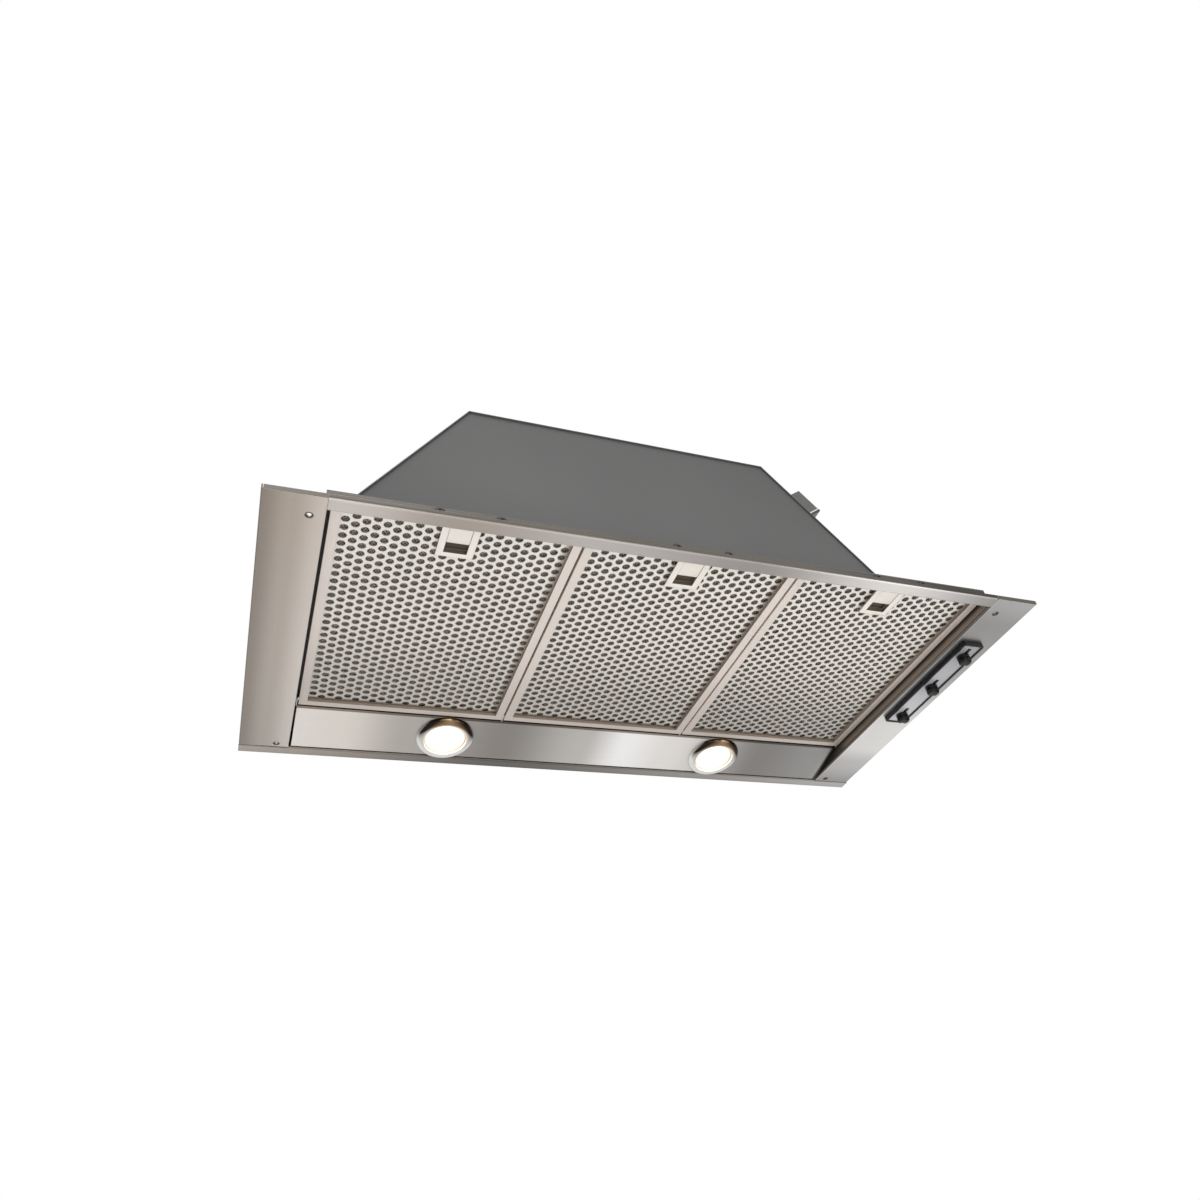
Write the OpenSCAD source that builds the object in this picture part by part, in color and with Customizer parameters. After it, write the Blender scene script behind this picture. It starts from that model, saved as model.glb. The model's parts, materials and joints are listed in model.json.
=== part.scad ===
// Range hood insert: a pull-in extractor for the underside of a wall cabinet.
// X runs along the hood, -Y is the user's side and +Z is up. The origin is the centre of the
// rim's underside, midway between the four mounting holes.

/* [Rim and chassis] */
// Width over the rim
overall_w = 730; // [690:5:770]
// Depth over the rim
overall_d = 380; // [365:5:410]
// Width of each side strip
trim_w = 48; // [44:1:54]
// Width of the front and rear rim
rim_w = 14; // [12:0.5:20]
// Height of the turned-up lip round the rim
lip_h = 5; // [3:0.5:9]
// Height of the chassis walls
skirt_h = 21; // [21:0.5:32]
// Thickness of the chassis sheet
sheet = 1.2; // [0.8:0.1:1.6]
// Middle radius of the sheet's bends
bend_r = 1.6; // [1.2:0.1:2.4]
// Width of the flanges that carry the side strips
wall_flange_w = 27; // [24:1:32]

/* [Housing] */
// Thickness of the housing sheet
shell = 1; // [0.8:0.1:1.4]
// Depth of the housing between its front and rear panels
housing_d = 300; // [270:5:320]
// Height of the housing's top above the rim
housing_h = 184.5; // [178:0.5:230]
// Gap between the left wall and the foot of the left slope
left_foot_gap = 5; // [0.5:0.5:8]
// Width of the flat shoulder at the right end
shoulder_w = 83; // [60:1:95]
// How far the left slope leans inwards
left_run = 116.5; // [90:0.5:140]
// How far the right slope leans inwards
right_run = 114; // [90:0.5:140]
// How far the top and slopes stand past the front and rear panels
hem = 1.6; // [1:0.1:3]

/* [Outlet] */
// Outside diameter of the duct collar
duct_d = 150; // [120:1:160]
// Height of the collar above the housing
collar_h = 68; // [50:1:90]
// Width of the collar's screwed flange
collar_flange_w = 15; // [12:1:20]
// Height of the damper rod above the housing
damper_z = 16; // [12:0.5:24]
// Diameter of the damper rod
damper_rod_d = 3; // [2.4:0.1:4]
// Thickness of a damper flap
flap_t = 1; // [0.8:0.1:1.6]
// Clearance between a flap's edge and the collar
flap_gap = 1.5; // [1:0.1:3]

/* [Grease filters] */
// Height of the filters' outer face above the rim
filter_z = 11; // [10:0.5:11.5]
// Thickness of a filter
filter_h = 8; // [7.5:0.5:8]
// Gap between two filters
filter_gap = 2.4; // [2:0.1:4]
// Gap between the left wall and the first filter
left_gap = 3.5; // [2.5:0.5:6]
// Gap between the last filter and the right wall
right_gap = 3.5; // [2.5:0.5:12]
// Gap between the front wall and the filters
front_gap = 5; // [4:0.5:7]
// Gap between the filters and the lamp panel
rear_gap = 4.3; // [2.5:0.1:5]
// Width of a filter's side bars
bar_w = 8; // [6:0.5:9]
// Width of a filter's rear bar
rear_bar_w = 7; // [6:0.5:9]
// Width of a filter's front bar
front_bar_w = 5; // [4:0.5:6]
// Thickness of the filter frame's sheet
frame_t = 1; // [0.8:0.1:1.2]
// Height of the perforated sheet above the filter's outer face
face_recess = 3.2; // [2.6:0.1:3.6]
// Thickness of the perforated sheet
face_t = 0.8; // [0.6:0.1:1.2]
// Distance between neighbouring holes
hole_pitch = 9.6; // [9:0.1:12]
// Diameter of a hole
hole_d = 7; // [5:0.1:7.4]
// Diameter of the rod on which the filters hang
rod_d = 4; // [3.4:0.1:4.4]

/* [Filter latches] */
// Width of the latch's rim
latch_w = 32; // [30:0.5:36]
// Length of the latch's rim
latch_l = 38; // [34:0.5:44]
// Width of the latch's opening
latch_open_w = 19.9; // [18:0.1:20.4]
// Width of the rim beyond the finger slot
latch_far_rim = 5; // [4:0.5:7]
// Room for a fingertip in the finger slot once the latch is drawn back
finger_room = 7; // [2:0.5:8]
// Travel of the latch
latch_travel = 5; // [3:0.5:6]

/* [Lamps] */
// Depth of the bay that the lamp panel fills
panel_bay = 61.7; // [60:0.1:70]
// Distance of each lamp from the middle
lamp_x = 160; // [120:1:220]
// Diameter of a lamp's ring
lamp_d = 62; // [54:0.5:62]
// Diameter of a lamp's lens opening
lens_d = 44; // [36:0.5:46]
// How far a lamp's ring stands proud
lamp_proud = 5; // [3:0.5:7]

/* [Controls] */
// Width of the control bezel
bezel_w = 26; // [24:0.5:28]
// Length of the control bezel
bezel_l = 150; // [140:1:170]
// Height of the bezel below the rim
bezel_h = 6; // [4:0.5:8]
// Middle of the bezel from the middle of the hood, towards the front
bezel_y = 48; // [30:1:60]
// Gap between the strip's inner edge and the bezel
bezel_margin = 7; // [6:0.5:8]
// Distance between two sliders
slider_pitch = 57; // [40:1:58]
// Travel of a slider
slider_travel = 10; // [6:0.5:11]
// Diameter of a slider's knob
knob_d = 13; // [10:0.5:14]
// How far a knob stands below the bezel
knob_proud = 7; // [4:0.5:10]

/* [Blower] */
// Outer radius of the impeller
wheel_r = 48; // [40:1:50]
// Width of the impeller
wheel_w = 92; // [70:1:94]
// Number of blades on the impeller
blades = 32; // [20:1:40]
// Height of the blower's shaft above the rim
shaft_z = 105; // [104:0.5:110]
// Distance of the shaft in front of the duct's middle
shaft_front = 55; // [50:1:60]
// Radius of the scroll at its tongue
tongue_r = 53; // [51:0.5:56]
// Growth of the scroll from its tongue to its outlet
scroll_growth = 35; // [28:0.5:36]
// Inside width of the scroll
scroll_w = 104; // [98:1:110]
// Diameter of the motor
motor_d = 76; // [60:1:80]
// Length of the motor
motor_l = 52; // [40:1:60]
// Diameter of the motor's shaft
shaft_d = 8; // [6:0.5:10]

/* [Fasteners] */
// Diameter of the mounting holes
mount_hole_d = 4.5; // [3.5:0.1:5.5]
// Distance of the mounting holes from the rim's ends
mount_inset_x = 36; // [35:0.5:37]
// Distance of the mounting holes from the rim's front and rear
mount_inset_y = 21; // [20:0.5:30]
// Distance between the two screws of a pair on the catch rail
catch_screw_gap = 51; // [40:1:60]
// Distance between the pairs of screws on the catch rail
catch_screw_pitch = 210; // [200:1:219]
// Diameter of the chassis screws' heads
head_d = 8; // [6:0.5:9]

/* [Terminal box] */
// Length of the terminal box along the slope
term_l = 28; // [24:1:36]
// Width of the terminal box along the housing's depth
term_w = 64; // [50:1:90]
// Height of the terminal box
term_h = 14.5; // [11:0.5:20]
// Diameter of the cable entry
cable_d = 8; // [6:0.5:8.5]

/* [Hidden] */
$fn = 48;

// One overrun serves every cut, and one gap every loose seat
cut = 1;
seat = 0.3;
// Radial clearance of a pin that turns in its hole
running = 0.05;
// Steps in a bend, and in a long curve
bend_steps = 5;
curve_steps = 40;

// Inside of the chassis, and the outside of its walls
in_x = overall_w / 2 - trim_w;
in_y = overall_d / 2 - rim_w;
out_x = in_x + sheet;
out_y = in_y + sheet;
mount_span_x = overall_w - 2 * mount_inset_x;
mount_span_y = overall_d - 2 * mount_inset_y;
deck_z = skirt_h + sheet;

// Housing outline across the hood
foot_l = -in_x + left_foot_gap;
foot_r = in_x - shoulder_w;
top_l = foot_l + left_run;
top_r = foot_r - right_run;
ceiling_z = housing_h - shell;
face_y = housing_d / 2;
duct_x = (top_l + top_r) / 2;

// Lamp panel: its front edge stands level with the filters' outer face, its rear with the rim
panel_y = in_y - panel_bay;
panel_rear_gap = 2.3;
panel_rear_y = in_y - panel_rear_gap;
panel_lean = atan2(filter_z, panel_rear_y - panel_y - shell);
panel_mid_y = (panel_y + panel_rear_y) / 2;
panel_mid_z = (filter_z + shell) / 2;
panel_upstand = 9;
panel_end_gap = 2.5;
lamp_skirt_w = 5.5;
lamp_neck_d = lamp_d - 2 * lamp_skirt_w;
lamp_neck_h = 9;
lamp_fit = 0.5;
lamp_can_h = 5.5;

// Filters
filter_w = (2 * in_x - left_gap - right_gap - 2 * filter_gap) / 3;
filter_front_y = -in_y + front_gap;
filter_rear_y = panel_y - rear_gap;
filter_d = filter_rear_y - filter_front_y;
filter_top_z = filter_z + filter_h;
face_z = filter_z + face_recess;
rim_z = filter_z + frame_t;
rod_inset = 3.5;
rod_rise = 5;
rod_y = filter_rear_y - rod_inset;
rod_z = filter_z + rod_rise;
function filter_x(i) = -in_x + left_gap + filter_w / 2 + i * (filter_w + filter_gap);

// Latch
latch_front_y = filter_front_y + frame_t;
latch_rear_y = latch_front_y + latch_l;
slot_rear_y = latch_rear_y - latch_far_rim;
pull_rear_y = slot_rear_y - latch_travel - finger_room;
latch_wall = 0.7;
latch_flange = 0.75;
slide_gap = 0.2;
latch_body_w = latch_open_w + 2 * (latch_flange + slide_gap + latch_wall);
pull_t = 1;
pull_lip_h = 3;
tongue_w = 12;
tongue_h = 2;
tongue_out = 0.9;
latch_roof_z = rim_z + slide_gap + pull_t + pull_lip_h + slide_gap;

// Catch rail inside the front wall
ledge_gap = 1.3;
ledge_d = front_gap - ledge_gap;
ledge_h = 1.2;
tongue_z = rim_z + slide_gap + pull_t;
catch_z = tongue_z - seat - ledge_h;
catch_h = 7;
catch_top_z = catch_z + catch_h;
catch_mid_x = 5;
catch_screw_r = 1.5;
catch_screw_end = 0.8;
catch_screw_edge = 1.2;
catch_screw_l = sheet + ledge_h + catch_screw_end;
screw_z = catch_top_z - catch_screw_r - running - catch_screw_edge;

// Colours
steel = "#b9b1ad";
bright = "#e6dcd6";
grey = "#6f6f6f";
zinc = "#9a9a96";
black = "#1c1c1e";

// A bent sheet: the points of a strip of thickness t along a path with bends of radius r
function unit(v) = v / norm(v);
function side(v) = [-v[1], v[0]];
function bend(a, b, c, r) =
    let (u = unit(a - b), w = unit(c - b), half = acos(u * w) / 2,
        mid = b + unit(u + w) * r / sin(half), start = b + u * r / tan(half) - mid,
        from = atan2(start[1], start[0]), turn = cross(-u, w) > 0 ? 1 : -1,
        sweep = 180 - 2 * half)
    [for (i = [0:bend_steps])
        let (angle = from + turn * sweep * i / bend_steps, out = [cos(angle), sin(angle)])
        [mid + r * out, turn * side(out)]];
function along(path, r) =
    let (last = len(path) - 1)
    concat([[path[0], unit(path[1] - path[0])]],
        [for (i = [1:last - 1]) each bend(path[i - 1], path[i], path[i + 1], r)],
        [[path[last], unit(path[last] - path[last - 1])]]);
function strip(path, t, r) =
    let (steps = along(path, r), last = len(steps) - 1)
    concat([for (s = steps) s[0] + side(s[1]) * t / 2],
        [for (i = [last:-1:0]) steps[i][0] - side(steps[i][1]) * t / 2]);

// A profile drawn in Y and Z and run along X, or drawn in X and Z and run along Y
module along_x(length) rotate([90, 0, 90]) linear_extrude(length, center = true) children();
module along_y(length) rotate([90, 0, 0]) linear_extrude(length, center = true) children();
// A box between two corners
module box(low, high) translate(low) cube(high - low);
module both_sides() {
    children();
    mirror([1, 0, 0]) children();
}
// A rectangle with round corners
module round_rect(w, l, r) {
    square([w - 2 * r, l], center = true);
    square([w, l - 2 * r], center = true);
    for (x = [-1, 1], y = [-1, 1]) translate([x * (w / 2 - r), y * (l / 2 - r)]) circle(r);
}

// Rim and chassis
module front_rail() {
    color(steel) difference() {
        union() {
            along_x(2 * (in_x - seat))
                polygon(strip([[-overall_d / 2 + sheet / 2, lip_h],
                    [-overall_d / 2 + sheet / 2, sheet / 2], [-in_y - sheet / 2, sheet / 2],
                    [-in_y - sheet / 2, skirt_h]], sheet, bend_r));
            both_sides() box([in_x - cut, -out_y, sheet + bend_r], [out_x, -in_y, skirt_h]);
        }
        at_catch_screws() cylinder(h = 6 * sheet, r = catch_screw_r + running, center = true);
    }
}

module rear_rail() {
    color(steel) union() {
        along_x(2 * out_x)
            polygon(strip([[overall_d / 2 - sheet / 2, lip_h], [overall_d / 2 - sheet / 2, sheet / 2],
                [in_y + sheet / 2, sheet / 2], [in_y + sheet / 2, skirt_h]], sheet, bend_r));
        both_sides() translate([(out_x + overall_w / 2) / 2, 0, 0])
            along_x(overall_w / 2 - out_x)
                polygon(strip([[overall_d / 2 - sheet / 2, lip_h],
                    [overall_d / 2 - sheet / 2, sheet / 2], [in_y, sheet / 2]], sheet, bend_r));
    }
}

// Studs that hold a side strip to the flange of its wall
stud_d = 4;
stud_l = 6;
stud_inset_x = 20;
stud_front_inset = 30;
stud_rear_inset = 62;
stud_x = in_x + stud_inset_x;
stud_front_y = -in_y + stud_front_inset;
stud_rear_y = in_y - stud_rear_inset;
stud_gap = 0.25;
nut_w = 7;
nut_h = 3.2;

module side_wall() {
    difference() {
        along_y(2 * in_y)
            polygon(strip([[in_x + wall_flange_w, 1.5 * sheet], [in_x + sheet / 2, 1.5 * sheet],
                [in_x + sheet / 2, skirt_h]], sheet, bend_r));
        for (y = [-1, 1]) translate([mount_span_x / 2, y * mount_span_y / 2, 0])
            cylinder(h = 3 * sheet, d = mount_hole_d);
        for (y = [stud_front_y, stud_rear_y]) translate([stud_x, y, 0])
            cylinder(h = 3 * sheet, r = stud_d / 2 + stud_gap);
    }
}
module left_wall() { color(steel) mirror([1, 0, 0]) side_wall(); }
module right_wall() {
    color(steel) difference() {
        side_wall();
        box([bezel_x - bezel_in_w / 2 - 2 * seat, -bezel_y - bezel_in_l / 2 - 2 * seat, sheet],
            [in_x + wall_flange_w + cut, -bezel_y + bezel_in_l / 2 + 2 * seat, 3 * sheet]);
    }
}

strip_gap = 1.2;
module side_trim() {
    strip_l = in_y - strip_gap + overall_d / 2;
    difference() {
        union() {
            translate([0, in_y - strip_gap - strip_l / 2, 0]) along_y(strip_l)
                polygon(strip([[overall_w / 2 - sheet / 2, lip_h], [overall_w / 2 - sheet / 2, sheet / 2],
                    [in_x, sheet / 2]], sheet, bend_r));
            box([in_x, -overall_d / 2, 0], [overall_w / 2 - bend_r, -overall_d / 2 + sheet, lip_h]);
            for (y = [stud_front_y, stud_rear_y]) translate([stud_x, y, sheet / 2])
                cylinder(h = stud_l, d = stud_d);
        }
        for (y = [-1, 1]) translate([mount_span_x / 2, y * mount_span_y / 2, -cut])
            cylinder(h = sheet + 2 * cut, d = mount_hole_d);
    }
}
module left_trim() { color(steel) mirror([1, 0, 0]) side_trim(); }
module right_trim() {
    color(steel) difference() {
        side_trim();
        translate([bezel_x, -bezel_y, -cut])
            linear_extrude(sheet + 2 * cut) round_rect(bezel_in_w + seat, bezel_in_l + seat, bezel_r);
    }
}
module trim_nuts() {
    color(zinc) both_sides() for (y = [stud_front_y, stud_rear_y]) translate([stud_x, y, 2 * sheet])
        difference() {
            cylinder(h = nut_h, d = nut_w / cos(30), $fn = 6);
            translate([0, 0, -cut]) cylinder(h = nut_h + 2 * cut, r = stud_d / 2 + running);
        }
}

// Flat roof of the chassis, in three strips round the foot of the housing
roof_lap = 1;
roof_in_y = face_y - shell - roof_lap;
module roof_front() { color(grey) box([-out_x, -out_y, skirt_h], [out_x, -roof_in_y, deck_z]); }
module roof_rear() { color(grey) box([-out_x, roof_in_y, skirt_h], [out_x, out_y, deck_z]); }
module roof_right() {
    color(grey) box([foot_r - 2 * shell, -roof_in_y, skirt_h], [out_x, roof_in_y, deck_z]);
}

// Housing: two flat panels between two slopes and a top
panel_points = [[foot_l, deck_z], [foot_r, deck_z], [top_r, ceiling_z], [top_l, ceiling_z]];
slope_l = atan2(housing_h - deck_z, left_run);
slope_r = atan2(housing_h - deck_z, right_run);
inset_l = shell / sin(slope_l);
inset_r = shell / sin(slope_r);
wrap_y = face_y + hem;
module housing_panel() {
    along_y(shell) polygon([[foot_l + inset_l, deck_z], [foot_r - inset_r, deck_z],
        [top_r - shell, ceiling_z], [top_l + shell, ceiling_z]]);
}
module housing_front() { color(grey) translate([0, -face_y + shell / 2, 0]) housing_panel(); }
module housing_rear() { color(grey) translate([0, face_y - shell / 2, 0]) housing_panel(); }
module housing_left() {
    color(grey) union() {
        along_y(2 * wrap_y) polygon([[foot_l, deck_z], [foot_l + inset_l, deck_z],
            [top_l + inset_l, housing_h], [top_l, housing_h]]);
        box([-out_x, -roof_in_y, skirt_h], [foot_l + 2 * shell, roof_in_y, deck_z]);
    }
}
module housing_right() {
    color(grey) along_y(2 * wrap_y) polygon([[foot_r, deck_z], [foot_r - inset_r, deck_z],
        [top_r - inset_r, housing_h], [top_r, housing_h]]);
}
duct_wall = 1.2;
duct_r = duct_d / 2;
flange_r = duct_r + collar_flange_w;
collar_screw_r = duct_r + 0.55 * collar_flange_w;
screw_d = 4;
screw_l = 8;
module collar_holes(d, h) {
    for (a = [45:90:315]) rotate(a) translate([collar_screw_r, 0, 0]) cylinder(h = h, d = d);
}
module housing_top() {
    color(grey) difference() {
        box([top_l + inset_l, -wrap_y, ceiling_z], [top_r - inset_r, wrap_y, housing_h]);
        translate([duct_x, 0, ceiling_z - cut]) {
            box([-scroll_w / 2, tongue_y, 0], [scroll_w / 2, mouth_y, shell + 2 * cut]);
            collar_holes(screw_d + 2 * running, shell + 2 * cut);
        }
    }
}

// Outlet collar with a stiffening bead and a butterfly damper on one rod
bead_r = 1.6;
bead_z = 0.5 * damper_z;
module outlet_collar() {
    color(zinc) translate([duct_x, 0, housing_h]) difference() {
        union() {
            cylinder(h = sheet, r = flange_r, $fn = 96);
            cylinder(h = collar_h, r = duct_r, $fn = 96);
            rotate_extrude($fn = 96) translate([duct_r, bead_z]) circle(bead_r, $fn = 24);
        }
        translate([0, 0, -cut]) cylinder(h = collar_h + 2 * cut, r = duct_r - duct_wall, $fn = 96);
        translate([0, 0, -cut]) collar_holes(screw_d + 2 * running, sheet + 2 * cut);
        translate([0, 0, damper_z]) rotate([0, 90, 0])
            cylinder(h = 2 * duct_r + 2 * cut, r = damper_rod_d / 2 + running, center = true);
    }
}
module collar_screws() {
    color(zinc) translate([duct_x, 0, housing_h]) for (a = [45:90:315])
        rotate(a) translate([collar_screw_r, 0, sheet]) {
            rotate_extrude() polygon([[0, 0], [head_d / 2, 0], [head_d / 2, head_d / 8],
                [head_d / 3, head_d / 3.5], [0, head_d / 3]]);
            translate([0, 0, -screw_l]) cylinder(h = screw_l + head_d / 8, d = screw_d);
        }
}
module damper_rod() {
    color(zinc) translate([duct_x, 0, housing_h + damper_z]) rotate([0, 90, 0])
        cylinder(h = 2 * duct_r - seat, d = damper_rod_d, center = true);
}
knuckle_wall = 1.1;
knuckle_r = damper_rod_d / 2 + running + knuckle_wall;
knuckle_l = duct_r / 4;
flap_r = duct_r - duct_wall - flap_gap;
// A half round flap; its two knuckles stand at the given shares of the radius
module flap(knuckle_shares) {
    translate([duct_x, 0, housing_h + damper_z]) difference() {
        union() {
            translate([0, 0, -flap_t / 2]) intersection() {
                cylinder(h = flap_t, r = flap_r, $fn = 96);
                translate([0, knuckle_r + seat + flap_r / 2, flap_t / 2])
                    cube([2 * flap_r, flap_r, 2 * flap_t], center = true);
            }
            for (s = knuckle_shares) translate([s * flap_r, 0, 0]) {
                rotate([0, 90, 0]) cylinder(h = knuckle_l, r = knuckle_r, center = true);
                box([-knuckle_l / 2, knuckle_r - knuckle_wall / 2, -flap_t / 2],
                    [knuckle_l / 2, knuckle_r + 3 * seat, flap_t / 2]);
            }
        }
        rotate([0, 90, 0])
            cylinder(h = 2 * duct_r, r = damper_rod_d / 2 + running, center = true);
    }
}
module damper_flap_rear() { color("silver") flap([-0.65, 0.35]); }
module damper_flap_front() { color("silver") mirror([0, 1, 0]) flap([-0.35, 0.65]); }

// Terminal box on the right slope, with its lid and the clip at its lower end. The cable comes in
// through the sleeve on its rear end
term_share = 0.3;
term_wall = 1.2;
module on_right_slope() {
    translate([top_r + term_share * right_run, -wrap_y, housing_h - term_share * (housing_h - deck_z)])
        rotate([0, slope_r, 0]) children();
}
sleeve_wall = 1;
sleeve_l = 5;
module terminal_box() {
    color(grey) on_right_slope() difference() {
        union() {
            box([-term_l / 2, 0, 0], [term_l / 2, term_w, term_h - term_wall]);
            at_cable() cylinder(h = sleeve_l, r = cable_d / 2 + sleeve_wall);
        }
        box([-term_l / 2 + term_wall, term_wall, term_wall],
            [term_l / 2 - term_wall, term_w - term_wall, term_h + cut]);
        at_cable() cylinder(h = 4 * sleeve_l, d = cable_d, center = true);
    }
}
module at_cable() { translate([0, term_w, (term_h - term_wall) / 2]) rotate([-90, 0, 0]) children(); }
module terminal_cover() {
    color(grey) on_right_slope() {
        box([-term_l / 2, 0, term_h - term_wall], [term_l / 2, term_w, term_h]);
        for (y = [0.15, 0.85]) translate([0, y * term_w, term_h]) cylinder(h = term_wall, d = head_d / 1.6);
    }
}
clip_t = 4;
clip_hook = 1;
module cover_clip() {
    color("silver") on_right_slope() translate([term_l / 2, term_w / 2, 0]) along_y(term_w)
        polygon([[0, 0], [clip_t, 0], [clip_t, term_h - clip_hook], [clip_t - clip_hook, term_h + clip_hook],
            [-clip_hook, term_h + clip_hook], [-clip_hook, term_h], [0, term_h]]);
}

// Lamp panel, leaning between the filters and the rear rim
module on_panel() {
    for (s = [-1, 1]) translate([s * lamp_x, panel_mid_y, panel_mid_z])
        rotate([-panel_lean, 0, 0]) translate([0, 0, -shell / 2]) children();
}
module light_panel() {
    color(steel) difference() {
        along_x(2 * (in_x - panel_end_gap))
            polygon(strip([[panel_y + shell / 2, filter_z + panel_upstand],
                [panel_y + shell / 2, filter_z + shell / 2],
                [panel_rear_y - shell / 2, shell / 2], [panel_rear_y - shell / 2, panel_upstand],
                [in_y - seat, panel_upstand]], shell, bend_r));
        on_panel() cylinder(h = 8 * shell, r = lamp_neck_d / 2 + lamp_fit, center = true);
    }
}
lens_r = lens_d / 2;
lens_seat = 1.8;
module lamp_rings() {
    dome_w = lamp_d / 2 - lens_r - lens_seat;
    color("#d9d9d9") on_panel() rotate_extrude($fn = 72)
        polygon(concat([for (a = [0:15:90]) [lens_r + lens_seat + dome_w * cos(a), -lamp_proud * sin(a)]],
            [[lens_r + lens_seat / 2, -lamp_proud], [lens_r, -0.8 * lamp_proud],
            [lens_r, -1.6 * seat - shell], [lens_r + lens_seat, -1.6 * seat - shell],
            [lens_r + lens_seat, lamp_neck_h], [lamp_neck_d / 2, lamp_neck_h],
            [lamp_neck_d / 2, 0]]));
}
lens_t = 2.5;
lens_z = -1.6 * seat - shell + running;
module lamp_lenses() {
    color("#fff6e0") on_panel() translate([0, 0, lens_z]) rotate_extrude($fn = 72)
        polygon([[0, -lens_t / 4], [lens_r / 2, -lens_t / 6], [lens_r - seat, 0],
            [lens_r + lens_seat - seat, 0], [lens_r + lens_seat - seat, lens_t], [0, lens_t]]);
}
module lamp_holders() {
    cup = lens_r + lens_seat - seat;
    cup_z = lens_z + lens_t + running;
    color(zinc) on_panel() rotate_extrude($fn = 72)
        polygon([[0, lamp_neck_h + lamp_can_h], [lamp_neck_d / 2, lamp_neck_h + lamp_can_h],
            [lamp_neck_d / 2, lamp_neck_h], [cup, lamp_neck_h], [cup, cup_z], [cup - shell, cup_z],
            [lens_r / 2.6, lamp_neck_h + shell], [0, lamp_neck_h + shell]]);
}
bulb_r = 4.5;
bulb_h = 6.5;
module lamp_bulbs() {
    color("white") on_panel() translate([0, 0, lamp_neck_h + shell - bulb_h]) rotate_extrude()
        polygon(concat([[0, bulb_h]], [[bulb_r, bulb_h]],
            [for (a = [0:15:90]) [bulb_r * cos(a), bulb_r / 2 - bulb_r / 2 * sin(a)]]));
}

// Control panel on the right strip
bezel_x = in_x + bezel_margin + bezel_w / 2;
bezel_rim = 2.5;
bezel_r = 2;
bezel_in_w = bezel_w - 2 * bezel_rim;
bezel_in_l = bezel_l - 2 * bezel_rim;
bezel_up = 8;
fascia_t = 1.2;
recess = 2.3;
fascia_z = -bezel_h + recess;
floor_w = 2;
stem_w = 4;
stem_l = 6;
stem_gap = 0.3;
slider_shift = 2.5;
first_slider_y = -bezel_y - slider_pitch + slider_shift;
function slider_y(i) = first_slider_y + i * slider_pitch;
module slider_slots(h) {
    for (i = [0:2])
        box([-stem_w / 2 - stem_gap, slider_y(i) + bezel_y - slider_travel - stem_l / 2 - stem_gap, -h],
            [stem_w / 2 + stem_gap, slider_y(i) + bezel_y + stem_l / 2 + stem_gap, h]);
}
module control_bezel() {
    color(black) translate([bezel_x, -bezel_y, 0]) difference() {
        union() {
            translate([0, 0, -bezel_h]) linear_extrude(bezel_h) round_rect(bezel_w, bezel_l, 1.5 * bezel_r);
            linear_extrude(bezel_up) round_rect(bezel_in_w, bezel_in_l, bezel_r);
        }
        translate([0, 0, -bezel_h - cut]) linear_extrude(recess + fascia_t + cut)
            round_rect(bezel_in_w, bezel_in_l, bezel_r);
        translate([0, 0, fascia_z]) linear_extrude(2 * bezel_up + bezel_h)
            round_rect(bezel_in_w - 2 * floor_w, bezel_in_l - 2 * floor_w, bezel_r);
    }
}
module control_fascia() {
    color("#a9a9b0") translate([bezel_x, -bezel_y, fascia_z]) difference() {
        linear_extrude(fascia_t)
            round_rect(bezel_in_w - seat, bezel_in_l - seat, bezel_r);
        slider_slots(bezel_h);
    }
}
block_h = 9;
block_back = 2;
block_z = fascia_z + fascia_t;
module switch_block() {
    color("#3a3a3c") translate([bezel_x, -bezel_y, block_z]) difference() {
        linear_extrude(block_h) round_rect(bezel_in_w - 2 * floor_w - 2 * seat,
            bezel_in_l - 2 * floor_w - 2 * seat, bezel_r);
        translate([0, 0, -cut]) slider_slots(block_h - block_back + cut);
    }
}
knob_top = 1.5;
module slider(i) {
    color(black) translate([bezel_x, slider_y(i), -bezel_h]) union() {
        difference() {
            translate([0, 0, recess - seat]) mirror([0, 0, 1]) rotate_extrude()
                polygon(concat([[0, 0], [knob_d / 2, 0], [knob_d / 2, recess]],
                    [for (a = [0:15:90]) [knob_d / 2 - knob_top + knob_top * cos(a),
                        knob_proud + recess - seat - knob_top + knob_top * sin(a)]],
                    [[0, knob_proud + recess - seat]]));
            for (s = [-1, 1]) translate([0, s * (knob_d / 2 + knob_d / 4), -knob_proud - cut])
                cylinder(h = knob_proud, d = knob_d);
        }
        box([-stem_w / 2, -stem_l / 2, recess - 2 * seat], [stem_w / 2, stem_l / 2, recess + block_h / 1.5]);
    }
}
module slider_light() { slider(2); }
module slider_fan() { slider(1); }
module slider_boost() { slider(0); }

// Rod on which the filters hang, and the brackets that hold it
bracket_t = 1.2;
bracket_inset = 4;
bracket_rise = 1;
bracket_y = rod_y - bracket_inset;
rod_end = 2;
bracket_xs = [-in_x + left_gap / 2, filter_x(0) + (filter_w + filter_gap) / 2,
    filter_x(1) + (filter_w + filter_gap) / 2, filter_x(2) + filter_w / 2 + filter_gap / 2];
module filter_rod() {
    color(zinc) translate([0, rod_y, rod_z]) rotate([0, 90, 0])
        translate([0, 0, bracket_xs[0] - rod_end / 2])
            cylinder(h = bracket_xs[3] - bracket_xs[0] + rod_end, d = rod_d);
}
module rod_brackets() {
    color(zinc) for (x = bracket_xs) translate([x, 0, 0]) difference() {
        box([-bracket_t / 2, bracket_y, filter_z + bracket_rise],
            [bracket_t / 2, panel_y, filter_top_z - seat]);
        translate([0, rod_y, rod_z]) rotate([0, 90, 0])
            cylinder(h = 3 * bracket_t, r = rod_d / 2 + running, center = true);
    }
}

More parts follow.
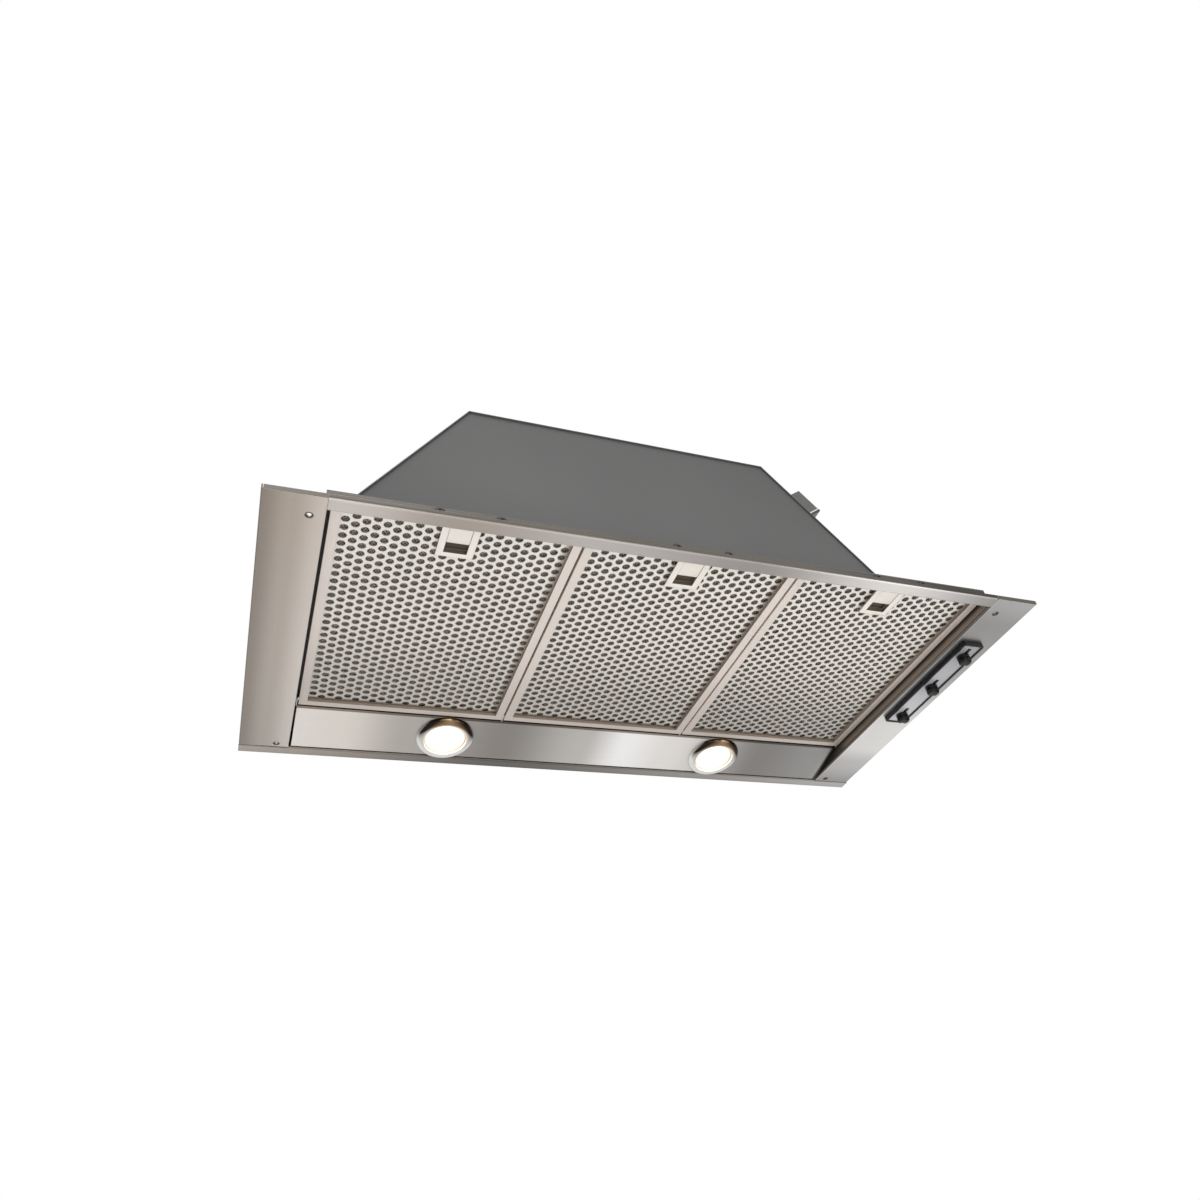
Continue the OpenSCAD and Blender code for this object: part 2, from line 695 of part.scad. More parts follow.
// Rail behind the front wall that the latches reach over, and its screws
rail_end_gap = 2;
module at_catch_screws() {
    for (i = [-1:1], s = [-1, 1])
        translate([catch_mid_x + i * catch_screw_pitch + s * catch_screw_gap / 2, -out_y, screw_z])
            rotate([90, 0, 0]) children();
}
module catch_rail() {
    color(zinc) difference() {
        along_x(2 * (in_x - rail_end_gap))
            polygon([[-in_y, catch_z], [-in_y + ledge_d, catch_z], [-in_y + ledge_d, catch_z + ledge_h],
                [-in_y + ledge_h, catch_z + ledge_h], [-in_y + ledge_h, catch_top_z],
                [-in_y, catch_top_z]]);
        at_catch_screws() cylinder(h = 6 * sheet, r = catch_screw_r + running, center = true);
    }
}
module catch_screws() {
    color("#2a2725") at_catch_screws() rotate_extrude() polygon([[0, -catch_screw_l],
        [catch_screw_r, -catch_screw_l], [catch_screw_r, 0], [head_d / 2, 0],
        [head_d / 2.2, head_d / 7], [head_d / 4, head_d / 4.5], [0, head_d / 4]]);
}

// Grease filters, counted from the left
mesh_gap = 0.15;
mesh_front_y = filter_front_y + frame_t + seat;
mesh_rear_gap = 2.2;
mesh_rear_y = rod_y - rod_d / 2 - mesh_rear_gap;
retainer_w = 8;
retainer_t = 1;
// The frame snaps over the rod through mouths a little narrower than the rod
mouth_share = 0.8;
module filter_frame(i) {
    x = filter_x(i);
    color(bright) translate([x, 0, 0]) difference() {
        union() {
            difference() {
                box([-filter_w / 2, filter_front_y, filter_z], [filter_w / 2, filter_rear_y, filter_top_z]);
                box([-filter_w / 2 + frame_t, filter_front_y + frame_t, rim_z],
                    [filter_w / 2 - frame_t, filter_rear_y - frame_t, filter_top_z + cut]);
                box([-filter_w / 2 + bar_w, filter_front_y + front_bar_w, filter_z - cut],
                    [filter_w / 2 - bar_w, filter_rear_y - rear_bar_w, rim_z + cut]);
            }
            difference() {
                box([-filter_w / 2 + bar_w - frame_t, filter_front_y + front_bar_w - frame_t, filter_z],
                    [filter_w / 2 - bar_w + frame_t, filter_rear_y - rear_bar_w + frame_t, face_z]);
                box([-filter_w / 2 + bar_w, filter_front_y + front_bar_w, filter_z - cut],
                    [filter_w / 2 - bar_w, filter_rear_y - rear_bar_w, face_z + cut]);
            }
            for (s = [0.25, 0.5, 0.75])
                translate([0, filter_front_y + s * (mesh_rear_y - filter_front_y),
                    filter_top_z - retainer_t / 2])
                    cube([filter_w - frame_t, retainer_w, retainer_t], center = true);
        }
        box([-latch_w / 2 - seat, filter_front_y + frame_t, filter_z - cut],
            [latch_w / 2 + seat, filter_front_y + front_bar_w + cut, face_z + cut]);
        box([-tongue_w / 2 - seat, filter_front_y - cut, tongue_z - seat],
            [tongue_w / 2 + seat, filter_front_y + frame_t + cut, tongue_z + tongue_h + seat]);
        translate([0, rod_y, rod_z]) rotate([0, 90, 0])
            cylinder(h = filter_w + 2 * cut, r = rod_d / 2 + running, center = true);
        for (s = [-1, 1]) translate([s * (filter_w / 2 - frame_t / 2), 0, 0])
            box([-frame_t, rod_y - mouth_share * rod_d / 2, rod_z],
                [frame_t, rod_y + mouth_share * rod_d / 2, filter_top_z + cut]);
    }
}
hole_col = hole_pitch * sqrt(3) / 2;
face_w = filter_w - 2 * frame_t - 2 * mesh_gap;
face_front_y = filter_front_y + frame_t + mesh_gap;
face_rear_y = rod_y - rod_d / 2 - seat;
hole_cols = floor((filter_w - 2 * bar_w - hole_d) / 2 / hole_col);
field_mid_y = (filter_front_y + front_bar_w + filter_rear_y - rear_bar_w) / 2;
field_l = filter_rear_y - rear_bar_w - filter_front_y - front_bar_w;
hole_rows = floor((field_l - hole_d) / 2 / hole_pitch);
half_rows = floor((field_l - hole_d) / 2 / hole_pitch + 0.5);
notch_w = latch_body_w + seat;
notch_y = latch_rear_y - latch_far_rim + 2 * latch_wall;
web = hole_pitch - hole_d;
module filter_face(i) {
    color("#e8e4da") translate([filter_x(i), 0, face_z]) linear_extrude(face_t) difference() {
        translate([-face_w / 2, face_front_y]) square([face_w, face_rear_y - face_front_y]);
        translate([-notch_w / 2, face_front_y - cut]) square([notch_w, notch_y - face_front_y + cut]);
        for (c = [-hole_cols:hole_cols]) let (half = c % 2 == 0 ? 0.5 : 0)
            for (r = half > 0 ? [-half_rows:half_rows - 1] : [-hole_rows:hole_rows])
                let (x = c * hole_col, y = field_mid_y + (r + half) * hole_pitch)
                    if (abs(x) > notch_w / 2 + hole_d / 2 + web / 4 || y > notch_y + hole_d / 2 + web / 4)
                        translate([x, y]) circle(d = hole_d, $fn = 24);
    }
}
// Two layers of folded mesh lie between the perforated sheet and the retaining bars
fold = 9;
mesh_t = 0.5;
mesh_low_z = face_z + face_t + mesh_gap;
mesh_high_z = filter_top_z - retainer_t - mesh_gap;
layer_h = (mesh_high_z - mesh_low_z - mesh_gap) / 2;
mesh_w = face_w - 2 * mesh_gap;
folds = floor(mesh_w / fold / 2);
module mesh_layer(z, up) {
    rise = up * (layer_h - mesh_t) / 2;
    line = [for (k = [-folds:folds]) [k * fold, z + layer_h / 2 + (k % 2 == 0 ? rise : -rise)]];
    polygon(concat([for (p = line) p + [0, mesh_t / 2]],
        [for (k = [2 * folds:-1:0]) line[k] - [0, mesh_t / 2]]));
}
module filter_mesh(i) {
    color("#8d8a82") translate([filter_x(i), (mesh_front_y + mesh_rear_y) / 2, 0]) difference() {
        along_y(mesh_rear_y - mesh_front_y) {
            mesh_layer(mesh_low_z, 1);
            mesh_layer(mesh_low_z + layer_h + mesh_gap, -1);
        }
        translate([0, (mesh_front_y - mesh_rear_y) / 2, 0])
            box([-notch_w / 2 - seat, -cut, mesh_low_z - cut],
                [notch_w / 2 + seat, notch_y - mesh_front_y + seat, filter_top_z]);
    }
}

// Latch: a rim and pocket let into the filter's front edge, and the pull that slides in it
module latch_plate(i) {
    color("#d8d2c8") translate([filter_x(i), 0, 0]) difference() {
        union() {
            box([-latch_w / 2, latch_front_y, filter_z], [latch_w / 2, latch_rear_y, rim_z]);
            box([-latch_body_w / 2, latch_front_y, rim_z],
                [latch_body_w / 2, slot_rear_y + latch_wall, latch_roof_z + latch_wall]);
        }
        box([-latch_open_w / 2, latch_front_y - cut, filter_z - cut],
            [latch_open_w / 2, slot_rear_y, rim_z + cut]);
        box([-latch_body_w / 2 + latch_wall, latch_front_y - cut, rim_z],
            [latch_body_w / 2 - latch_wall, slot_rear_y, latch_roof_z]);
    }
}
module latch_pull(i) {
    face_half = latch_open_w / 2 - slide_gap;
    wing_half = latch_open_w / 2 + latch_flange;
    front = latch_front_y + slide_gap;
    color("#eae2da") translate([filter_x(i), 0, 0]) union() {
        box([-face_half, front, filter_z + seat], [face_half, pull_rear_y, rim_z + slide_gap + pull_t]);
        box([-wing_half, front, rim_z + slide_gap], [wing_half, pull_rear_y, tongue_z]);
        box([-face_half, pull_rear_y - 2 * pull_t, rim_z], [face_half, pull_rear_y, tongue_z + pull_lip_h]);
        box([-tongue_w / 2, filter_front_y - tongue_out, tongue_z],
            [tongue_w / 2, pull_rear_y - pull_t, tongue_z + tongue_h]);
    }
}
module filter_frame_1() { filter_frame(0); }
module filter_frame_2() { filter_frame(1); }
module filter_frame_3() { filter_frame(2); }
module filter_face_1() { filter_face(0); }
module filter_face_2() { filter_face(1); }
module filter_face_3() { filter_face(2); }
module filter_mesh_1() { filter_mesh(0); }
module filter_mesh_2() { filter_mesh(1); }
module filter_mesh_3() { filter_mesh(2); }
module latch_plate_1() { latch_plate(0); }
module latch_plate_2() { latch_plate(1); }
module latch_plate_3() { latch_plate(2); }
module latch_pull_1() { latch_pull(0); }
module latch_pull_2() { latch_pull(1); }
module latch_pull_3() { latch_pull(2); }

// Blower: a scroll that hangs from the housing's top and blows up through the collar
tongue_a = 65;
scroll_t = 0.8;
inlet_inset = 9;
inlet_lip = 4;
inlet_r = wheel_r - inlet_inset;
inlet_wall = 1.5;
scroll_foot = 14;
function scroll_r(a) = tongue_r + scroll_growth * (a - tongue_a) / (360 - tongue_a);
function scroll_point(a, extra) =
    [-shaft_front + (scroll_r(a) + extra) * cos(a), shaft_z + (scroll_r(a) + extra) * sin(a)];
spiral = [for (i = [0:curve_steps]) tongue_a + (360 - tongue_a) * i / curve_steps];
tongue_y = -shaft_front + tongue_r * cos(tongue_a);
mouth_y = -shaft_front + tongue_r + scroll_growth;
module in_blower() { translate([duct_x, 0, 0]) children(); }
module scroll_band() {
    color(zinc) in_blower() along_x(scroll_w)
        polygon(concat([[tongue_y, ceiling_z]], [for (a = spiral) scroll_point(a, 0)],
            [[mouth_y, ceiling_z], [mouth_y + scroll_t, ceiling_z]],
            [for (i = [curve_steps:-1:1]) scroll_point(spiral[i], scroll_t)],
            [[tongue_y - scroll_t, shaft_z + (tongue_r + 2 * scroll_t) * sin(tongue_a)],
            [tongue_y - scroll_t, ceiling_z]]));
}
module scroll_side() {
    translate([scroll_w / 2 + scroll_t / 2, 0, 0]) difference() {
        union() {
            along_x(scroll_t) polygon(concat([[tongue_y - scroll_t, ceiling_z]],
                [for (i = [1:curve_steps]) scroll_point(spiral[i], scroll_t)],
                [[mouth_y + scroll_t, ceiling_z]]));
            translate([0, -shaft_front, shaft_z]) rotate([0, 90, 0])
                cylinder(h = inlet_lip, r = inlet_r + inlet_wall);
            box([0, tongue_y, ceiling_z - scroll_t], [scroll_foot, mouth_y, ceiling_z]);
        }
        translate([0, -shaft_front, shaft_z]) rotate([0, 90, 0])
            cylinder(h = scroll_foot, r = inlet_r, center = true);
    }
}
module scroll_side_right() { color(zinc) in_blower() scroll_side(); }
module scroll_side_left() { color(zinc) in_blower() mirror([1, 0, 0]) scroll_side(); }

motor_gap = 10;
motor_end = 3;
motor_bevel = 4;
ring_inset = 8;
motor_x = scroll_w / 2 + motor_gap;
module on_shaft() { translate([duct_x, -shaft_front, shaft_z]) rotate([0, 90, 0]) children(); }
module motor() {
    color("#8f8f8c") on_shaft() translate([0, 0, motor_x]) difference() {
        rotate_extrude($fn = 72) polygon([[0, 0], [motor_d / 5, 0], [motor_d / 5, motor_end],
            [motor_d / 2 - motor_bevel, motor_end], [motor_d / 2, motor_end + motor_bevel],
            [motor_d / 2, motor_l - motor_bevel], [motor_d / 2 - motor_bevel, motor_l], [0, motor_l]]);
        translate([0, 0, -cut]) cylinder(h = motor_l / 2 + cut, r = shaft_d / 2 + running);
    }
}
arm_w = 12;
arm_t = 1.5;
module motor_bracket() {
    ring_x = motor_x + ring_inset;
    foot_x = scroll_w / 2 + scroll_t;
    arm_r = max(motor_d / 2 + arm_t, inlet_r + inlet_wall) + arm_t;
    color(zinc) on_shaft() difference() {
        union() {
            translate([0, 0, ring_x]) cylinder(h = arm_w, r = motor_d / 2 + arm_t);
            for (a = [0, 120, 240]) rotate(a) {
                box([motor_d / 2 + arm_t / 2, -arm_w / 2, ring_x],
                    [arm_r + arm_t, arm_w / 2, ring_x + arm_t]);
                box([arm_r, -arm_w / 2, foot_x], [arm_r + arm_t, arm_w / 2, ring_x + arm_t]);
                box([arm_r, -arm_w / 2, foot_x], [tongue_r - arm_t, arm_w / 2, foot_x + arm_t]);
            }
        }
        translate([0, 0, motor_x]) cylinder(h = motor_l, r = motor_d / 2 + running);
    }
}
blade_t = 0.8;
blade_depth = 9;
ring_t = 1.5;
hub_r = 11;
module impeller() {
    inner_r = wheel_r - blade_depth;
    color("#c9c9c4") on_shaft() union() {
        for (z = [-wheel_w / 2, wheel_w / 2 - ring_t]) translate([0, 0, z]) difference() {
            cylinder(h = ring_t, r = wheel_r, $fn = 72);
            translate([0, 0, -cut]) cylinder(h = ring_t + 2 * cut, r = inner_r, $fn = 72);
        }
        translate([0, 0, -ring_t / 2]) cylinder(h = ring_t, r = wheel_r, $fn = 72);
        translate([0, 0, -hub_r]) cylinder(h = 2 * hub_r, r = hub_r);
        translate([0, 0, -hub_r]) cylinder(h = motor_x + motor_l / 2, d = shaft_d);
        for (k = [0:blades - 1]) rotate(k * 360 / blades)
            translate([0, 0, -wheel_w / 2]) linear_extrude(wheel_w)
                polygon(concat([for (s = [0:0.25:1])
                    [inner_r + s * (blade_depth - seat), blade_depth / 3 * sin(180 * s) - blade_t / 2]],
                    [for (s = [1:-0.25:0])
                    [inner_r + s * (blade_depth - seat), blade_depth / 3 * sin(180 * s) + blade_t / 2]]));
    }
}

// Driver of the lamps, on the inside of the rear panel
driver_w = 96;
driver_h = 24;
driver_d = 34;
module lamp_driver() {
    x = top_l - driver_w / 2;
    color("#d5d3cc") box([x, face_y - shell - driver_d, deck_z + driver_h / 2],
        [x + driver_w, face_y - shell, deck_z + 1.5 * driver_h]);
}

front_rail();
rear_rail();
left_wall();
right_wall();
left_trim();
right_trim();
trim_nuts();
roof_front();
roof_rear();
roof_right();
housing_front();
housing_rear();
housing_left();
housing_right();
housing_top();
outlet_collar();
collar_screws();
damper_rod();
damper_flap_front();
damper_flap_rear();
terminal_box();
terminal_cover();
cover_clip();
light_panel();
lamp_rings();
lamp_lenses();
lamp_holders();
lamp_bulbs();
control_bezel();
control_fascia();
switch_block();
slider_light();
slider_fan();
slider_boost();
filter_rod();
rod_brackets();
catch_rail();
catch_screws();
scroll_band();
scroll_side_left();
scroll_side_right();
motor();
motor_bracket();
impeller();
lamp_driver();
filter_frame_1();
filter_face_1();
filter_mesh_1();
latch_plate_1();
latch_pull_1();
filter_frame_2();
filter_face_2();
filter_mesh_2();
latch_plate_2();
latch_pull_2();
filter_frame_3();
filter_face_3();
filter_mesh_3();
latch_plate_3();
latch_pull_3();
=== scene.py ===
"""Looks of a range hood insert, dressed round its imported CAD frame."""
import json
import logging
import math
from collections.abc import Callable, Iterable, Sequence
from dataclasses import dataclass
from enum import Enum

import bmesh
import bpy
from mathutils import Matrix, Vector


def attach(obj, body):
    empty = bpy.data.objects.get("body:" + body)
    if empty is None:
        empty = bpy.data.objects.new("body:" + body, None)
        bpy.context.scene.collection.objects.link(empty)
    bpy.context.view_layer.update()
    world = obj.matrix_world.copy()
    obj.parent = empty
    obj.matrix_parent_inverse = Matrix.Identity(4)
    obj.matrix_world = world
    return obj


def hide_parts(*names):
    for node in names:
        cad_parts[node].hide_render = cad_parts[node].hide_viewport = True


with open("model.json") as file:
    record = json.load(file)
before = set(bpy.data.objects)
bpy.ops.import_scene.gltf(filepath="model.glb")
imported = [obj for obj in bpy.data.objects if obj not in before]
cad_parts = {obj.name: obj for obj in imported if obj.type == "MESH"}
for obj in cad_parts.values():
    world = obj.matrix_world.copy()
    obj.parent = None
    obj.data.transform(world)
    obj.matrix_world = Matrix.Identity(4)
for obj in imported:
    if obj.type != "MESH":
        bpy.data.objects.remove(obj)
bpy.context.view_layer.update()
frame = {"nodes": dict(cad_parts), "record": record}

log = logging.getLogger("range_hood")

Socket = bpy.types.NodeSocket
Mesh = bmesh.types.BMesh
Triple = tuple[float, float, float]
Colour = Triple
Point = tuple[float, float]
# Colours at places from 0 to 1
Ramp = Sequence[tuple[float, Colour]]
# Places in millimetres, each with a tone and its warmth
Stops = tuple[Triple, ...]
# Stops along X, Y or Z, or along a direction of their own
Bands = tuple[tuple[int | Triple, Stops], ...]

MM = 0.001
X, Y, Z = 0, 1, 2
WHITE = (1.0, 1.0, 1.0)
UNSCALED = (1.0, 1.0, 1.0)
# What a tone loses in red, green and blue at warmth 1
WARM_LOSS = (0.0, 0.12, 0.23)
BEVEL_SAMPLES = 4
# A mix node's sockets when it mixes colours: the share, both colours and the result
MIX_INPUTS = (0, 6, 7)
MIX_RESULT = 2
# The cosines of the turn between which an edge is not paled and fully paled, by wear and painted
# highlight
EDGE_TURN = (1.0, 0.8)
# The outer and inner radius, in metres, between which painted shade darkens a hole's rim
HOLE_SHADE_RIM = (0.0038, 0.003)
# The mounting holes' distances from the middle in X and Y, in millimetres
HOLES = (329.0, 169.0)
# The X of each filter's middle, and the share of its tone that painted shade leaves at its rear
FILTERS = ((-209.8, 0.58), (0.0, 0.58), (209.8, 0.52))


class Axis(Enum):
    """The direction in which a sheet was brushed or drawn, as a scale of its noise."""

    X = (0.02, 1.0, 1.0)
    Y = (1.0, 0.02, 1.0)
    Z = (1.0, 1.0, 0.02)


@dataclass(frozen=True)
class Noise:
    """A noise texture: scale per metre, number of octaves and weight of the fine ones."""

    scale: float
    octaves: float = 3.0
    weight: float = 0.5


@dataclass(frozen=True)
class Relief:
    """A bump: its depth, its strength and the rounding of edges, lengths in millimetres."""

    depth: float
    strength: float
    rounding: float = 0.0


def warm(tone: float, warmth: float) -> Colour:
    """Gives a steel tone, from neutral at warmth 0 to beige at 1.

    Args:
        tone: Its lightness from 0 to 1.
        warmth: Its warmth.

    Returns:
        The colour.
    """
    return tuple(tone * (1 - loss * warmth) for loss in WARM_LOSS)


def shade(colour: Colour, share: float) -> Colour:
    """Darkens or lightens a colour.

    Args:
        colour: The colour.
        share: What each channel is multiplied by.

    Returns:
        The new colour, none of whose channels is past 1.
    """
    return tuple(min(1.0, channel * share) for channel in colour)


class Nodes:
    """Short ways to add and join nodes in one tree."""

    def __init__(self, tree: bpy.types.NodeTree) -> None:
        """Empties the tree.

        Args:
            tree: The node tree of a material or a world.
        """
        self.tree = tree
        tree.nodes.clear()

    def add(self, kind: str, **inputs: object) -> bpy.types.Node:
        """Adds a node.

        Args:
            kind: The node's type.
            **inputs: Values or sockets for its inputs, with _ for a space.

        Returns:
            The new node.
        """
        node = self.tree.nodes.new(kind)
        for key, value in inputs.items():
            self.put(node.inputs[key.replace("_", " ")], value)
        return node

    def put(self, socket: Socket, value: object) -> None:
        """Sets an input to a value, or links another node's output to it.

        Args:
            socket: The input.
            value: A number, a vector, a colour or an output socket.
        """
        if isinstance(value, Socket):
            self.tree.links.new(value, socket)
        else:
            socket.default_value = value

    def coordinates(self, kind: str) -> Socket:
        """Gives one kind of texture coordinates.

        Args:
            kind: The name of the kind.

        Returns:
            The vector socket.
        """
        return self.add("ShaderNodeTexCoord").outputs[kind]

    def part(self, vector: Socket, axis: int) -> Socket:
        """Gives one component of a vector.

        Args:
            vector: The vector socket.
            axis: X, Y or Z.

        Returns:
            The value socket.
        """
        return self.add("ShaderNodeSeparateXYZ", Vector=vector).outputs[axis]

    def dot(self, first: Socket, second: object) -> Socket:
        """Gives the dot product of two vectors.

        Args:
            first: A vector socket.
            second: A vector or a socket.

        Returns:
            The value socket.
        """
        node = self.add("ShaderNodeVectorMath")
        node.operation = "DOT_PRODUCT"
        self.put(node.inputs[0], first)
        self.put(node.inputs[1], second)
        return node.outputs["Value"]

    def math(self, kind: str, first: object, second: object = 0.0) -> Socket:
        """Adds a sum on two values.

        Args:
            kind: The operation's name.
            first: A number or a socket.
            second: A number or a socket.

        Returns:
            The result's socket.
        """
        node = self.add("ShaderNodeMath")
        node.operation = kind
        self.put(node.inputs[0], first)
        self.put(node.inputs[1], second)
        return node.outputs[0]

    def share(self, value: Socket, low: float, high: float) -> Socket:
        """Gives how far a value lies from one number to another.

        Args:
            value: The value socket.
            low: The number at which the result is 0.
            high: The number at which the result is 1.

        Returns:
            The value socket, held from 0 to 1.
        """
        return self.add("ShaderNodeMapRange", Value=value, From_Min=low, From_Max=high).outputs[0]

    def span(self, value: Socket, low: float, high: float) -> Socket:
        """Maps a value from 0..1 to low..high.

        Args:
            value: The value socket.
            low: The result at 0.
            high: The result at 1.

        Returns:
            The mapped socket.
        """
        return self.add("ShaderNodeMapRange", Value=value, To_Min=low, To_Max=high).outputs[0]

    def ramp(self, value: Socket, stops: Ramp) -> Socket:
        """Maps a value to colours.

        Args:
            value: The value socket.
            stops: Places from 0 to 1, each with a colour.

        Returns:
            The colour socket.
        """
        node = self.add("ShaderNodeValToRGB", Fac=value)
        elements = node.color_ramp.elements
        while len(elements) < len(stops):
            elements.new(0.5)
        for element, (place, colour) in zip(elements, stops):
            element.position = place
            element.color = (*colour, 1.0)
        return node.outputs[0]

    def mix(self, share: object, first: object, second: object, kind: str = "MIX") -> Socket:
        """Mixes two colours.

        Args:
            share: The share of the second, as a number or a socket.
            first: A colour or a socket.
            second: A colour or a socket.
            kind: The blend's name.

        Returns:
            The colour socket.
        """
        node = self.add("ShaderNodeMix")
        node.data_type, node.blend_type = "RGBA", kind
        for index, value in zip(MIX_INPUTS, (share, first, second)):
            self.put(node.inputs[index], (*value, 1.0) if isinstance(value, tuple) else value)
        return node.outputs[MIX_RESULT]


class Recipe(Nodes):
    """A material's node tree, with the patterns that the finishes share."""

    def __init__(self, name: str) -> None:
        """Starts a material with one principled shader.

        Args:
            name: The material's name.
        """
        self.material = bpy.data.materials.new(name)
        self.material.use_nodes = True
        super().__init__(self.material.node_tree)
        self.shader = self.add("ShaderNodeBsdfPrincipled")
        self.add("ShaderNodeOutputMaterial", Surface=self.shader.outputs[0])

    def place(self, scale: Triple = UNSCALED, turn: float = 0.0) -> Socket:
        """Gives object coordinates, scaled and turned about Z.

        Args:
            scale: The scale along each axis.
            turn: The turn in degrees.

        Returns:
            The vector socket.
        """
        return self.add("ShaderNodeMapping", Vector=self.coordinates("Object"), Scale=scale,
                        Rotation=(0.0, 0.0, math.radians(turn))).outputs[0]

    def noise(self, kind: Noise, scale: Triple = UNSCALED) -> Socket:
        """Adds a noise texture over the object.

        Args:
            kind: The noise.
            scale: The scale along each axis.

        Returns:
            Its value socket.
        """
        return self.add("ShaderNodeTexNoise", Vector=self.place(scale), Scale=kind.scale,
                        Detail=kind.octaves, Roughness=kind.weight).outputs[0]

    def mottle(self, value: Socket, colour: Colour, dark: float, pale: float,
               ends: Point = (0.3, 0.7)) -> Socket:
        """Varies a colour between a darker and a paler share of it.

        Args:
            value: The value socket that decides.
            colour: The colour.
            dark: Its share at the low end.
            pale: Its share at the high end.
            ends: The values at the low and the high end.

        Returns:
            The colour socket.
        """
        shades = (shade(colour, dark), shade(colour, pale))
        return self.ramp(value, tuple(zip(ends, shades)))

    def along(self, axis: int | Triple, stops: Stops) -> Socket:
        """Gives a tone that changes slowly in one direction on the object.

        Args:
            axis: X, Y or Z, or the direction itself.
            stops: Places in millimetres, each with a tone and its warmth.

        Returns:
            The colour socket.
        """
        where = self.coordinates("Object")
        reach = self.dot(where, axis) if isinstance(axis, tuple) else self.part(where, axis)
        low, high = stops[0][0], stops[-1][0]
        ramp = self.ramp(self.share(reach, low * MM, high * MM),
                         [((place - low) / (high - low), warm(tone, warmth))
                          for place, tone, warmth in stops])
        ramp.node.color_ramp.interpolation = "EASE"
        return ramp

    def banded(self, tone: Socket, bands: Bands) -> Socket:
        """Lays slow bands of painted light and shade over a tone.

        Args:
            tone: The colour socket.
            bands: The bands.

        Returns:
            The colour socket.
        """
        for axis, stops in bands:
            tone = self.mix(1.0, tone, self.along(axis, stops), "MULTIPLY")
        return tone

    def level(self, low: float = 0.4, high: float = 0.8) -> Socket:
        """Gives 1 where the surface lies level, and 0 where it stands upright.

        Args:
            low: The Z of the normal up to which the result is 0.
            high: The Z of the normal from which the result is 1.

        Returns:
            The value socket.
        """
        size = self.math("ABSOLUTE", self.part(self.coordinates("Normal"), Z))
        return self.share(size, low, high)

    def around(self, place: Point) -> Socket:
        """Gives a value that rises towards four holes placed alike in the corners.

        Args:
            place: The holes' distances from the middle in X and Y, in millimetres.

        Returns:
            The value socket.
        """
        where = self.coordinates("Object")
        squares = []
        for axis, middle in zip((X, Y), place):
            side = self.math("ABSOLUTE", self.part(where, axis))
            away = self.math("ABSOLUTE", self.math("SUBTRACT", side, middle * MM))
            squares.append(self.math("POWER", away, 2.0))
        return self.share(self.math("SQRT", self.math("ADD", *squares)), *HOLE_SHADE_RIM)

    def soft_normal(self, radius: float) -> Socket:
        """Gives the surface's normal as if its edges were rounded.

        Args:
            radius: The rounding in millimetres.

        Returns:
            The vector socket.
        """
        node = self.add("ShaderNodeBevel", Radius=radius * MM)
        node.samples = BEVEL_SAMPLES
        return node.outputs[0]

    def edge_highlight_and_wear(self, tone: Socket, reach: float, strength: float, edge_colour: Colour) -> Socket:
        """Paints a paler colour along the piece's edges, where the normal turns: wear and a painted
        highlight.

        Args:
            tone: The colour socket.
            reach: How far the paler edge reaches, in millimetres.
            strength: The share of the paler colour on an edge.
            edge_colour: The paler colour, part bare metal and part painted highlight.

        Returns:
            The colour socket.
        """
        if not strength:
            return tone
        plain = self.add("ShaderNodeNewGeometry").outputs["Normal"]
        turned = self.share(self.dot(self.soft_normal(reach), plain), *EDGE_TURN)
        return self.mix(self.math("MULTIPLY", turned, strength), tone, edge_colour)

    def bump(self, height: Socket, relief: Relief) -> None:
        """Bumps the surface by a height map.

        Args:
            height: The height socket.
            relief: The bump.
        """
        node = self.add("ShaderNodeBump", Height=height, Strength=relief.strength,
                        Distance=relief.depth * MM)
        if relief.rounding:
            self.put(node.inputs["Normal"], self.soft_normal(relief.rounding))
        self.put(self.shader.inputs["Normal"], node.outputs[0])

    def stored(self, name: str) -> Socket:
        """Gives a value that the mesh stores at its points.

        Args:
            name: The attribute's name.

        Returns:
            The value socket.
        """
        node = self.add("ShaderNodeAttribute")
        node.attribute_name = name
        return node.outputs["Fac"]

    def finish(self, **values: object) -> bpy.types.Material:
        """Sets the shader's inputs and gives the material.

        Args:
            **values: Values or sockets for the shader's inputs, with _ for a space.

        Returns:
            The finished material.
        """
        for key, value in values.items():
            self.put(self.shader.inputs[key.replace("_", " ")], value)
        return self.material


@dataclass(frozen=True)
class Finish:
    """What all finishes share: a name and a colour."""

    name: str
    colour: Colour

    def build(self) -> bpy.types.Material:
        """Builds the material.

        Returns:
            The material.
        """
        raise NotImplementedError


